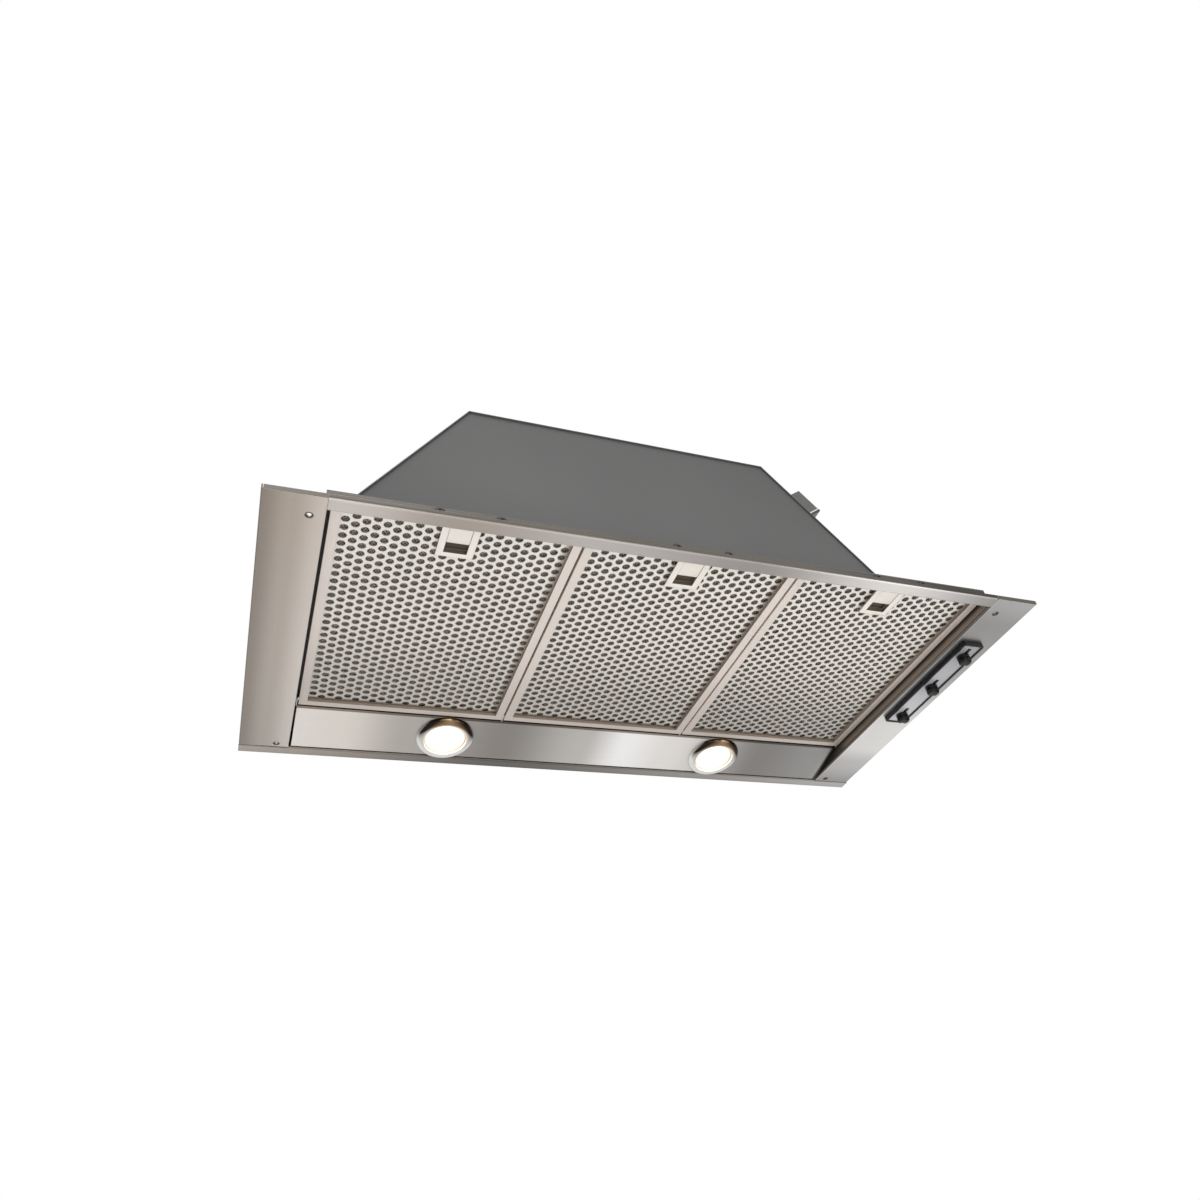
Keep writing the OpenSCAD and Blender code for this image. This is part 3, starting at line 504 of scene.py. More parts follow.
@dataclass(frozen=True)
class BrushedSheet(Finish):
    """Sheet metal with long brush lines, slow bands of painted reflection and shade, and paler
    edges from wear and painted highlight.

    Its upright faces, the walls, may have a colour and bands of their own, which paint their shade,
    and be matt.
    """

    grain: Axis = Axis.X
    roughness: float = 0.3
    contrast: float = 0.08
    metallic: float = 1.0
    bands: Bands = ()
    wall: Colour | None = None
    wall_bands: Bands = ()
    matt_wall: bool = False
    edge: float = 0.25
    edge_reach: float = 0.6
    edge_tone: Colour = (0.75, 0.72, 0.69)
    holes: Point | None = None
    hole_shade: Colour = (0.1, 0.085, 0.07)
    lines: Noise = Noise(900.0, 4.0, 0.65)
    clouds: Noise = Noise(5.0, 2.0)
    relief: Relief = Relief(0.02, 0.35, 0.4)
    spread: Point = (-0.07, 0.09)

    def build(self) -> bpy.types.Material:
        """Builds the material.

        Returns:
            The material.
        """
        r = Recipe(self.name)
        lines = r.noise(self.lines, self.grain.value)
        mixed = r.math("MULTIPLY", r.math("ADD", r.noise(self.clouds), lines), 0.5)
        shares = (1 - self.contrast, 1 + self.contrast)
        # The bands paint reflections and shade along the sheet
        tone = r.banded(r.mottle(mixed, self.colour, *shares), self.bands)
        # Upright faces take the wall colour and bands: painted shade
        if self.wall:
            shaded_wall = r.banded(r.mottle(mixed, self.wall, *shares), self.wall_bands)
            tone = r.mix(r.level(), shaded_wall, tone)
        # Paler edges: wear and a painted highlight
        tone = r.edge_highlight_and_wear(tone, self.edge_reach, self.edge, self.edge_tone)
        # Dark rims round the mounting holes: painted shade
        if self.holes:
            tone = r.mix(r.around(self.holes), tone, self.hole_shade)
        r.bump(lines, self.relief)
        metallic = self.metallic
        if self.matt_wall:
            metallic = r.math("MULTIPLY", r.level(), metallic)
        roughness = r.span(lines, *(self.roughness + step for step in self.spread))
        return r.finish(Base_Color=tone, Metallic=metallic, Roughness=roughness)


@dataclass(frozen=True)
class CoatedSheet(Finish):
    """Sheet metal under a satin coating with a faint mottle, and edges paled by wear and painted
    highlight.
    """

    roughness: float = 0.42
    metallic: float = 0.35
    edge: float = 0.2
    bands: Bands = ()
    edge_reach: float = 0.8
    edge_share: float = 2.2
    shares: Point = (0.95, 1.05)
    fine: Noise = Noise(420.0, 3.0, 0.6)
    slow: Noise = Noise(7.0, 2.0)
    relief: Relief = Relief(0.03, 0.3, 0.5)
    spread: Point = (-0.05, 0.07)

    def build(self) -> bpy.types.Material:
        """Builds the material.

        Returns:
            The material.
        """
        r = Recipe(self.name)
        fine = r.noise(self.fine)
        # The bands paint shade over the coating
        tone = r.banded(r.mottle(r.noise(self.slow), self.colour, *self.shares), self.bands)
        tone = r.edge_highlight_and_wear(tone, self.edge_reach, self.edge, shade(self.colour, self.edge_share))
        r.bump(fine, self.relief)
        roughness = r.span(fine, *(self.roughness + step for step in self.spread))
        return r.finish(Base_Color=tone, Metallic=self.metallic, Roughness=roughness)


@dataclass(frozen=True)
class Galvanised(Finish):
    """Zinc coated sheet with its crystal spangle."""

    crystal: float = 130.0
    shares: Point = (0.85, 1.12)
    relief: Relief = Relief(0.03, 0.2, 0.4)
    metallic: float = 0.9
    roughness: Point = (0.3, 0.5)

    def build(self) -> bpy.types.Material:
        """Builds the material.

        Returns:
            The material.
        """
        r = Recipe(self.name)
        cells = r.add("ShaderNodeTexVoronoi", Vector=r.place(), Scale=self.crystal).outputs
        tone = r.mottle(cells["Color"], self.colour, *self.shares, ends=(0.0, 1.0))
        r.bump(cells["Distance"], self.relief)
        return r.finish(Base_Color=tone, Metallic=self.metallic,
                        Roughness=r.span(cells["Distance"], *self.roughness))


@dataclass(frozen=True)
class Moulded(Finish):
    """Moulded plastic with a fine grain."""

    roughness: float = 0.45
    sheen: float = 0.5
    shares: Point = (0.9, 1.15)
    grain: Noise = Noise(2400.0, 2.0)
    slow: Noise = Noise(40.0)
    relief: Relief = Relief(0.02, 0.4, 0.3)
    spread: Point = (-0.05, 0.06)

    def build(self) -> bpy.types.Material:
        """Builds the material.

        Returns:
            The material.
        """
        r = Recipe(self.name)
        grain = r.noise(self.grain)
        tone = r.mottle(r.noise(self.slow), self.colour, *self.shares)
        r.bump(grain, self.relief)
        roughness = r.span(grain, *(self.roughness + step for step in self.spread))
        return r.finish(Base_Color=tone, Specular_IOR_Level=self.sheen, Roughness=roughness)


@dataclass(frozen=True)
class Polished(Finish):
    """Chrome plate with faint polishing haze.

    Its front slopes, where the mesh stores a slope of 1, are painted dark: a painted reflection of
    a room.
    """

    haze: Noise = Noise(90.0)
    shares: Point = (0.96, 1.0)
    front: Point = (-0.12, -0.32)
    painted_reflection: Ramp = ((0.0, (0.3, 0.2, 0.12)), (0.16, (0.12, 0.07, 0.035)),
                      (0.3, (0.015, 0.012, 0.01)), (0.62, (0.02, 0.018, 0.016)),
                      (0.8, (0.5, 0.48, 0.46)))
    roughness: Point = (0.04, 0.12)

    def build(self) -> bpy.types.Material:
        """Builds the material.

        Returns:
            The material.
        """
        r = Recipe(self.name)
        haze = r.noise(self.haze)
        plate = r.mottle(haze, self.colour, *self.shares)
        # Front slopes painted dark: a painted reflection
        normal = r.coordinates("Normal")
        front = r.share(r.part(normal, Y), *self.front)
        dark = r.ramp(r.math("ABSOLUTE", r.part(normal, X)), self.painted_reflection)
        tone = r.mix(r.math("MULTIPLY", front, r.stored("slope")), plate, dark)
        return r.finish(Base_Color=tone, Metallic=1.0, Roughness=r.span(haze, *self.roughness))


@dataclass(frozen=True)
class LitGlass(Finish):
    """Frosted lamp glass, lit from behind, white at its middle and warm at its rim."""

    glow: float
    frost: Noise = Noise(700.0)
    shares: Point = (0.95, 1.0)
    light: Ramp = ((0.0, (1.0, 1.0, 0.97)), (0.8, (1.0, 0.97, 0.88)),
                   (0.93, (0.3, 0.22, 0.14)), (1.0, (0.05, 0.035, 0.02)))
    relief: Relief = Relief(0.04, 0.3)
    roughness: Point = (0.25, 0.4)

    def build(self) -> bpy.types.Material:
        """Builds the material.

        Returns:
            The material.
        """
        r = Recipe(self.name)
        frost = r.noise(self.frost)
        tone = r.mottle(frost, self.colour, *self.shares)
        light = r.mix(1.0, tone, r.ramp(r.stored("rim"), self.light), "MULTIPLY")
        r.bump(frost, self.relief)
        return r.finish(Base_Color=tone, Roughness=r.span(frost, *self.roughness),
                        Emission_Color=light, Emission_Strength=self.glow)


@dataclass(frozen=True)
class WireMat(Finish):
    """Dense metal mesh seen as one dark sheet with crossing strands."""

    pitch: float = 2.2
    turns: Point = (32.0, -32.0)
    distortion: float = 0.6
    shares: Point = (0.25, 1.7)
    ends: Point = (0.55, 0.95)
    relief: Relief = Relief(0.4, 0.8)
    metallic: float = 0.6
    roughness: Point = (0.6, 0.4)

    def build(self) -> bpy.types.Material:
        """Builds the material.

        Returns:
            The material.
        """
        r = Recipe(self.name)
        scale = 1 / (self.pitch * MM) / math.pi
        waves = [r.add("ShaderNodeTexWave", Vector=r.place(turn=turn), Scale=scale,
                       Distortion=self.distortion, Detail=1.0).outputs["Fac"]
                 for turn in self.turns]
        strands = r.math("MAXIMUM", *waves)
        tone = r.mottle(strands, self.colour, *self.shares, ends=self.ends)
        r.bump(strands, self.relief)
        return r.finish(Base_Color=tone, Metallic=self.metallic,
                        Roughness=r.span(strands, *self.roughness))


# Painted shade on the upright faces of the rear rim and the right trim
WALL_SHADE_TONE = (0.13, 0.118, 0.106)
WALL_STEEL = (0.42, 0.4, 0.38)
FILTER_SHEET = (0.87, 0.84, 0.79)
# The way down the housing's right slope
DOWN_SLOPE = (0.575, 0.0, -0.818)

# The finish of each material slot, which has the slot's name
FINISHES = {finish.name: finish for finish in (
    BrushedSheet("stainless", (0.55, 0.51, 0.48), Axis.X, 0.34),
    # Dark brown: a painted reflection on the chassis walls
    BrushedSheet("chassis_steel", (0.25, 0.205, 0.17), Axis.Y, 0.4, metallic=0.6),
    CoatedSheet("housing_grey", (0.08, 0.08, 0.08), 0.65, metallic=0.0, edge=0.15),
    Galvanised("galvanised", (0.5, 0.51, 0.51)),
    BrushedSheet("damper_sheet", (0.7, 0.71, 0.72), Axis.X, 0.35),
    BrushedSheet("zinc_fastener", (0.6, 0.6, 0.58), Axis.Z),
    CoatedSheet("dark_screw", (0.012, 0.01, 0.009), 0.6, metallic=0.0, edge=0.0),
    BrushedSheet("bright_clip", (0.8, 0.8, 0.8), Axis.X, 0.2),
    # The dark wall colour paints shade on the frame's upright faces
    BrushedSheet("filter_frame", (0.74, 0.69, 0.64), Axis.Y, 0.4, 0.05, 0.7,
                 wall=(0.24, 0.19, 0.15)),
    BrushedSheet("filter_face", FILTER_SHEET, Axis.Y, 0.42, 0.05, 0.6),
    Galvanised("filter_mesh", (0.3, 0.28, 0.25), crystal=400.0),
    # Above 13.6 mm the pocket is painted dark olive and the walls dark: painted shade in the recess
    BrushedSheet("latch_metal", (0.9, 0.86, 0.8), Axis.Y, 0.34, 0.04, 0.6,
                 bands=((Z, ((10.5, 1.0, 0.0), (12.6, 0.95, 0.1), (13.6, 0.12, 1.6),
                             (18.0, 0.08, 1.6))),),
                 wall=(0.3, 0.26, 0.2)),
    Polished("chrome_ring", (0.8, 0.79, 0.77)),
    LitGlass("lamp_glass", (0.45, 0.42, 0.38), glow=7.0),
    LitGlass("bulb_glass", (0.9, 0.87, 0.8), glow=4.0),
    Moulded("black_plastic", (0.006, 0.006, 0.006), 0.25, sheen=0.2),
    # Darker towards its near end: painted shade
    CoatedSheet("fascia_grey", (0.62, 0.62, 0.65), 0.36, metallic=0.4,
                bands=((Y, ((-125.0, 0.55, 0.0), (-60.0, 0.72, 0.0), (30.0, 1.0, 0.0))),)),
    Moulded("switch_plastic", (0.03, 0.03, 0.03)),
    Moulded("knob_black", (0.006, 0.006, 0.006), 0.2, sheen=0.25),
    CoatedSheet("motor_grey", (0.3, 0.3, 0.29)),
    Galvanised("impeller_metal", (0.55, 0.55, 0.53), crystal=300.0),
    Moulded("driver_case", (0.6, 0.59, 0.56)),
)}
MESH_STRANDS = WireMat("mesh_strands", (0.31, 0.28, 0.25))

# CAD nodes with painted reflections and shade in bands of their own, each with its finish
PANELS = {
    # Darker towards the left and the top: painted shade
    "housing_front": CoatedSheet(
        "housing_front_grey", (0.084, 0.084, 0.084), 0.65, metallic=0.0, edge=0.15,
        bands=((X, ((-312.0, 0.7, 0.0), (-150.0, 0.95, 0.0), (-20.0, 1.0, 0.0),
                    (120.0, 0.92, 0.0), (234.0, 0.9, 0.0))),
               (Z, ((22.0, 1.0, 0.2), (60.0, 0.97, 0.0), (184.5, 0.84, 0.0))))),
    # The flange's bands paint reflections; the dark wall colour and its bands paint the front
    # wall's shade
    "front_rail": BrushedSheet(
        "front_rim_steel", WHITE, Axis.X, 0.36, wall=(0.165, 0.15, 0.134),
        bands=((X, ((-365.0, 0.44, 1.0), (-305.0, 0.66, 0.5), (-220.0, 0.44, 0.9),
                    (-95.0, 0.56, 0.4), (50.0, 0.38, 0.5), (200.0, 0.84, 0.2),
                    (330.0, 0.36, 0.2))),),
        wall_bands=((X, ((-317.0, 0.55, 0.0), (-262.0, 0.6, 0.0), (-94.0, 0.95, 0.0),
                         (103.0, 1.0, 0.0), (200.0, 0.75, 0.0), (272.0, 0.42, 0.0),
                         (317.0, 0.4, 0.0))),)),
    # The bands paint reflections along the rim and shade at its edges; the wall colour paints the
    # upright faces' shade
    "rear_rail": BrushedSheet(
        "rear_rim_steel", WHITE, Axis.X, 0.36, wall=WALL_SHADE_TONE,
        bands=((X, ((-365.0, 0.45, 0.8), (-90.0, 0.16, 0.5), (165.0, 0.36, 0.4),
                    (365.0, 0.52, 0.1))),
               (Y, ((176.0, 0.55, 0.5), (178.5, 1.0, 0.0), (186.0, 0.95, 0.0),
                    (190.0, 0.55, 0.1))))),
    "left_wall": BrushedSheet("left_wall_steel", WALL_STEEL, Axis.Y, 0.36),
    # The wall bands paint shade: darker towards the rear, along its edge at the trim, and below and
    # above a lit band from 4.6 to 9 mm
    "right_wall": BrushedSheet(
        "right_wall_steel", WALL_STEEL, Axis.Y, 0.4, metallic=0.6, wall=WALL_STEEL,
        wall_bands=((X, ((317.0, 0.6, 1.2), (317.2, 0.6, 1.2), (317.5, 1.0, 0.0),
                         (345.0, 1.0, 0.0))),
                    (Y, ((-176.0, 1.0, 0.0), (95.0, 0.9, 0.0), (112.0, 0.4, 0.0),
                         (130.0, 0.25, 0.0), (176.0, 0.2, 0.0))),
                    (Z, ((0.0, 0.35, 0.5), (3.6, 0.4, 0.5), (4.6, 1.0, 0.0),
                         (9.0, 1.0, 0.0), (12.0, 0.5, 0.3), (21.0, 0.3, 0.5))))),
    # Dark below a thin pale strip: painted shadow on the clip's underside
    "cover_clip": BrushedSheet(
        "clip_steel", (0.85, 0.85, 0.85), Axis.Y, 0.3,
        bands=((DOWN_SLOPE, ((-9.5, 1.0, 0.0), (-7.6, 1.0, 0.0), (-6.9, 0.1, 0.3),
                             (-4.4, 0.1, 0.3))),)),
    # The bands paint reflections along the strip; the dark wall colour paints the upright faces'
    # shade
    "left_trim": BrushedSheet(
        "left_strip_steel", WHITE, Axis.Y, 0.36, wall=(0.098, 0.088, 0.08), holes=HOLES,
        bands=((X, ((-365.0, 0.32, 0.9), (-342.0, 0.5, 0.8), (-317.0, 0.7, 0.6))),
               (Y, ((-190.0, 0.95, 0.2), (0.0, 1.0, 0.0), (190.0, 0.9, -0.2))))),
    # A pale line at the inner edge is a painted highlight; the other bands paint reflections and
    # the wall colour paints shade
    "right_trim": BrushedSheet(
        "right_strip_steel", WHITE, Axis.Y, 0.36, wall=WALL_SHADE_TONE, holes=HOLES,
        bands=((X, ((317.0, 1.0, 0.2), (318.0, 0.95, 0.2), (319.0, 0.8, 0.0),
                    (365.0, 0.84, 0.0))),
               (Y, ((-190.0, 0.58, 0.1), (-150.0, 0.44, 0.1), (-60.0, 0.56, 0.0),
                    (50.0, 1.0, 0.1), (90.0, 1.0, 0.1), (130.0, 0.7, 0.1),
                    (190.0, 0.38, 0.1))))),
    # The bands paint reflections along the panel and dark shade lines at its right end and at its
    # front and rear edges
    "light_panel": BrushedSheet(
        "lamp_panel_steel", WHITE, Axis.X, 0.36,
        bands=((X, ((-315.0, 0.8, 0.4), (-270.0, 0.77, 0.5), (-200.0, 0.48, 0.5),
                    (-95.0, 0.29, 0.5), (-5.0, 0.56, 0.3), (45.0, 0.97, 0.0),
                    (100.0, 0.83, 0.2), (220.0, 0.26, 0.3), (300.0, 0.34, 0.1),
                    (310.5, 0.38, 0.1), (312.2, 0.06, 0.5), (314.5, 0.04, 0.5))),
               (Y, ((114.0, 0.22, 1.2), (115.5, 0.28, 1.2), (116.6, 1.0, 0.0),
                    (172.3, 1.0, 0.0), (173.4, 0.3, 1.0), (176.0, 0.2, 1.0))))),
}


def filter_panels() -> dict[str, BrushedSheet]:
    """Gives the finishes of the filters, with painted shade that darkens them towards the rear and
    the gaps.

    Returns:
        The finish of each filter's frame and of each perforated sheet, by CAD node.
    """
    # Painted shade: the bars darken towards the rear
    bars = ((Y, ((-171.0, 1.0, 0.0), (-40.0, 0.95, 0.0), (110.0, 0.7, 0.1))),)
    panels = {}
    for number, (middle, rear_shade) in enumerate(FILTERS, 1):
        # Painted shade: the frame's upright faces darken, but for those at its left edge
        gap = ((X, ((middle - 104.0, 1.0, 0.0), (middle - 101.0, 1.0, 0.0),
                    (middle - 99.0, 0.3, 0.0), (middle + 104.0, 0.3, 0.0))),)
        # Painted shade: the sheet darkens towards the rear, with painted shadows under the rear bar
        # and along its right edge
        sheet = ((Y, ((-175.0, 1.0, 0.0), (-60.0, 0.9, 0.1), (98.0, rear_shade, 0.2),
                      (100.0, 0.25, 1.0), (104.0, 0.2, 1.0))),
                 (X, ((middle - 98.0, 1.0, 0.0), (middle + 87.0, 1.0, 0.0),
                      (middle + 95.0, 0.5, 0.9))))
        panels[f"filter_frame_{number}"] = BrushedSheet(
            f"filter_bars_{number}", (0.78, 0.72, 0.67), Axis.Y, 0.4, 0.05, 0.7, bands=bars,
            wall=(0.8, 0.63, 0.5), wall_bands=gap, matt_wall=True)
        panels[f"filter_face_{number}"] = BrushedSheet(
            f"filter_sheet_{number}", FILTER_SHEET, Axis.Y, 0.42, 0.05, 0.6, bands=sheet)
    return panels


class Wardrobe:
    """Builds each finish once and dresses pieces with it."""

    def __init__(self) -> None:
        """Starts with no material built."""
        self.made: dict[str, bpy.types.Material] = {}

    def material(self, finish: Finish) -> bpy.types.Material:
        """Gives the material of a finish, built at first use.

        Args:
            finish: The finish.

        Returns:
            The material.
        """
        if finish.name not in self.made:
            self.made[finish.name] = finish.build()
        return self.made[finish.name]

    def dress(self, piece: bpy.types.Object, finish: Finish) -> None:
        """Gives a piece one finish.

        Args:
            piece: The object.
            finish: The finish.
        """
        piece.data.materials.clear()
        piece.data.materials.append(self.material(finish))

    def dress_frame(self) -> None:
        """Dresses every CAD node as the record says, or as a panel of its own."""
        panels = PANELS | filter_panels()
        for row in frame["record"]["subparts"]:
            node = row["node"]
            self.dress(frame["nodes"][node], panels.get(node, FINISHES[row["material_slot"]]))


def spun(profile: Iterable[Point], steps: int = 96, weld: float = 0.001) -> Mesh:
    """Spins a closed profile of radii and heights round Z.

    Args:
        profile: The profile's points in millimetres.
        steps: The number of steps round.
        weld: The distance in millimetres under which points become one.

    Returns:
        The spun mesh.
    """
    mesh = bmesh.new()
    verts = [mesh.verts.new((radius, 0.0, height)) for radius, height in profile]
    edges = [mesh.edges.new(pair) for pair in zip(verts, verts[1:] + verts[:1])]
    bmesh.ops.spin(mesh, geom=verts + edges, cent=(0.0, 0.0, 0.0), axis=(0.0, 0.0, 1.0),
                   angle=math.tau, steps=steps, use_merge=True)
    bmesh.ops.remove_doubles(mesh, verts=mesh.verts, dist=weld)
    bmesh.ops.recalc_face_normals(mesh, faces=mesh.faces)
    return mesh


def copied(source: Mesh, places: Iterable[Matrix]) -> Mesh:
    """Puts a copy of a mesh at each place.

    Args:
        source: The mesh, which is freed.
        places: The matrix of each copy.

    Returns:
        One mesh with all the copies.
    """
    data = bpy.data.meshes.new("pattern")
    source.to_mesh(data)
    source.free()
    mesh = bmesh.new()
    for place in places:
        start = len(mesh.verts)
        mesh.from_mesh(data)
        mesh.verts.ensure_lookup_table()
        bmesh.ops.transform(mesh, matrix=place, verts=mesh.verts[start:])
    bpy.data.meshes.remove(data)
    return mesh


def softened(node: str, width: float, angle: float = 40.0, weld: float = 0.005,
             flat: float = 1.0) -> Mesh:
    """Copies a CAD node with its sharp edges rounded.

    Args:
        node: The CAD node.
        width: The width of the rounding in millimetres.
        angle: The angle in degrees above which an edge is rounded.
        weld: The distance in millimetres under which points become one.
        flat: The angle in degrees under which faces become one.

    Returns:
        The copy, in millimetres.
    """
    mesh = bmesh.new()
    mesh.from_mesh(frame["nodes"][node].data)
    bmesh.ops.scale(mesh, verts=mesh.verts, vec=(1 / MM, 1 / MM, 1 / MM))
    bmesh.ops.remove_doubles(mesh, verts=mesh.verts, dist=weld)
    bmesh.ops.dissolve_limit(mesh, angle_limit=math.radians(flat), verts=mesh.verts,
                             edges=mesh.edges)
    edges = [edge for edge in mesh.edges if len(edge.link_faces) == 2
             and edge.calc_face_angle(0.0) > math.radians(angle)]
    bmesh.ops.bevel(mesh, geom=edges, offset=width, offset_type="OFFSET", affect="EDGES",
                    segments=2, profile=0.5, material=-1, clamp_overlap=True)
    return mesh


@dataclass
class Assembly:
    """What the sub-assemblies share: the finishes, and the way a piece joins the hood."""

    wardrobe: Wardrobe

    def join(self, name: str, mesh: Mesh, body: str, slot: str, *nodes: str,
             sharp: float = 35.0) -> bpy.types.Object:
        """Turns a mesh into a dressed piece that rides on a body.

        Args:
            name: The piece's name.
            mesh: Its mesh, in millimetres, which is freed.
            body: The CAD body that carries it.
            slot: The record's material slot.
            *nodes: The CAD nodes that it stands for.
            sharp: The angle in degrees above which an edge stays sharp.

        Returns:
            The piece.
        """
        bmesh.ops.scale(mesh, verts=mesh.verts, vec=(MM, MM, MM))
        data = bpy.data.meshes.new(name)
        mesh.to_mesh(data)
        mesh.free()
        data.polygons.foreach_set("use_smooth", [True] * len(data.polygons))
        data.set_sharp_from_angle(angle=math.radians(sharp))
        piece = bpy.data.objects.new(name, data)
        bpy.context.scene.collection.objects.link(piece)
        self.wardrobe.dress(piece, FINISHES[slot])
        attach(piece, body)
        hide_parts(*nodes)
        log.info("%s: %d faces", name, len(data.polygons))
        return piece


@dataclass
class Lamps(Assembly):
    """The two lamps in the sloping panel: polished rings and lit lenses.

    Lengths are in millimetres. Outer, opening, seat and neck are radii of a ring, and crown is
    how far a lens bulges.
    """

    across: float = 160.0
    middle: Point = (144.0, 6.0)
    slope: Point = (58.4, 11.0)
    panel: float = 0.5
    outer: float = 31.0
    opening: float = 22.0
    seat: float = 23.8
    neck: float = 25.5
    proud: float = 5.0
    height: float = 9.0
    dome_edge: float = 0.5
    lip: tuple[Point, ...] = ((0.9, 0.03), (0.3, 0.3), (0.0, 0.9))
    play: float = 0.05
    lens_z: float = -1.43
    lens_play: float = 0.3
    lens_thickness: float = 2.5
    crown: float = 1.9
    ripple: float = 0.12
    ripples: int = 44
    plain_rim: float = 1.5
    dome_step: int = 6
    lens_steps: int = 72

    def places(self) -> list[Matrix]:
        """Gives the place of each lamp on the panel's underside.

        Returns:
            One matrix a lamp, in millimetres.
        """
        run, rise = self.slope
        turn = Matrix.Rotation(-math.atan2(rise, run), 4, "X")
        down = Matrix.Translation((0.0, 0.0, -self.panel))
        return [Matrix.Translation((side * self.across, *self.middle)) @ turn @ down
                for side in (-1, 1)]

    def rings(self) -> None:
        """Builds the polished rings."""
        width = self.outer - self.seat
        turns = [math.radians(turn) for turn in range(0, 91, self.dome_step)]
        dome = [(self.seat + width * math.cos(turn), -self.proud * math.sin(turn))
                for turn in turns]
        lip = [(self.opening + out, -self.proud + up) for out, up in self.lip]
        ledge = self.lens_z - self.play
        neck = [(self.opening, ledge), (self.seat, ledge), (self.seat, self.height),
                (self.neck, self.height), (self.neck, 0.0)]
        piece = self.join("lamp_rings_polished", copied(spun(dome + lip + neck), self.places()),
                          "chassis", "chrome_ring", "lamp_rings")
        # Marks the dome's outer slope, where the chrome finish paints a dark reflection
        self.measure(piece, "slope", lambda away: float(away > self.seat - self.dome_edge))

    def lenses(self) -> None:
        """Builds the lit lenses with their fine rings."""
        radius = self.seat - self.lens_play
        face = []
        for i in range(self.ripples + 1):
            away = (self.opening - self.lens_play) * i / self.ripples
            ripple = self.ripple if i % 2 and away < self.opening - self.plain_rim else 0.0
            face.append((away, -self.crown * (1 - (away / self.opening) ** 2) - ripple))
        back = [(radius, 0.0), (radius, self.lens_thickness), (0.0, self.lens_thickness)]
        profile = [(away, height + self.lens_z) for away, height in face + back]
        piece = self.join("lamp_lenses_lit", copied(spun(profile, self.lens_steps), self.places()),
                          "chassis", "lamp_glass", "lamp_lenses", sharp=60.0)
        self.measure(piece, "rim", lambda away: min(1.0, away / self.opening))

    def measure(self, piece: bpy.types.Object, name: str,
                rule: Callable[[float], float]) -> None:
        """Stores a value at each point, worked out from its distance to the lamp's middle.

        Args:
            piece: The object.
            name: The attribute's name.
            rule: Gives the value for a distance in millimetres.
        """
        layer = piece.data.attributes.new(name, "FLOAT", "POINT")
        for vert, value in zip(piece.data.vertices, layer.data):
            side = math.copysign(self.across, vert.co.x)
            value.value = rule(math.hypot(vert.co.x / MM - side, vert.co.y / MM - self.middle[0]))

    def build(self) -> None:
        """Builds both lamps."""
        self.rings()
        self.lenses()


@dataclass
class Controls(Assembly):
    """The bezel with its three knobs. Lengths are in millimetres and angles in degrees."""

    edge: float = 0.45
    rim_z: float = -4.0
    crown: float = 0.3
    knob_edge: float = 0.35
    knob_angle: float = 50.0

    def build(self) -> None:
        """Builds the bezel, with a flatter rim than the solid's, and the knobs."""
        bezel = softened("control_bezel", self.edge)
        for vert in bezel.verts:
            if vert.co.z < self.rim_z:
                vert.co.z = self.rim_z + (vert.co.z - self.rim_z) * self.crown
        self.join("bezel_rounded", bezel, "chassis", "black_plastic", "control_bezel")
        for name in ("light", "fan", "boost"):
            knob = softened(f"slider_{name}", self.knob_edge, self.knob_angle)
            self.join(f"knob_{name}", knob, f"{name}_slider", "knob_black", f"slider_{name}")


@dataclass
class WallScrews(Assembly):
    """The six washer head screws that hold the catch rail to the front wall."""

    middles: Triple = (-205.0, 5.0, 215.0)
    apart: float = 51.0
    wall_y: float = -177.2
    height: float = 15.95
    steps: int = 32
    # Radii and heights from the tip over the washer and the domed head to the recess
    profile: tuple[Point, ...] = (
        (0.0, -3.2), (1.5, -3.2), (1.5, 0.0), (5.2, 0.0), (5.2, 0.5), (4.7, 0.75), (3.6, 0.8),
        (3.5, 1.6), (2.9, 2.2), (1.6, 2.45), (1.3, 2.3), (1.2, 1.4), (0.0, 1.4))

    def build(self) -> None:
        """Builds the screws in their three pairs."""
        turn = Matrix.Rotation(math.radians(90.0), 4, "X")
        places = [Matrix.Translation((middle + side * self.apart / 2, self.wall_y, self.height))
                  @ turn for middle in self.middles for side in (-1, 1)]
        self.join("catch_screws_domed", copied(spun(self.profile, self.steps), places), "chassis",
                  "dark_screw", "catch_screws")


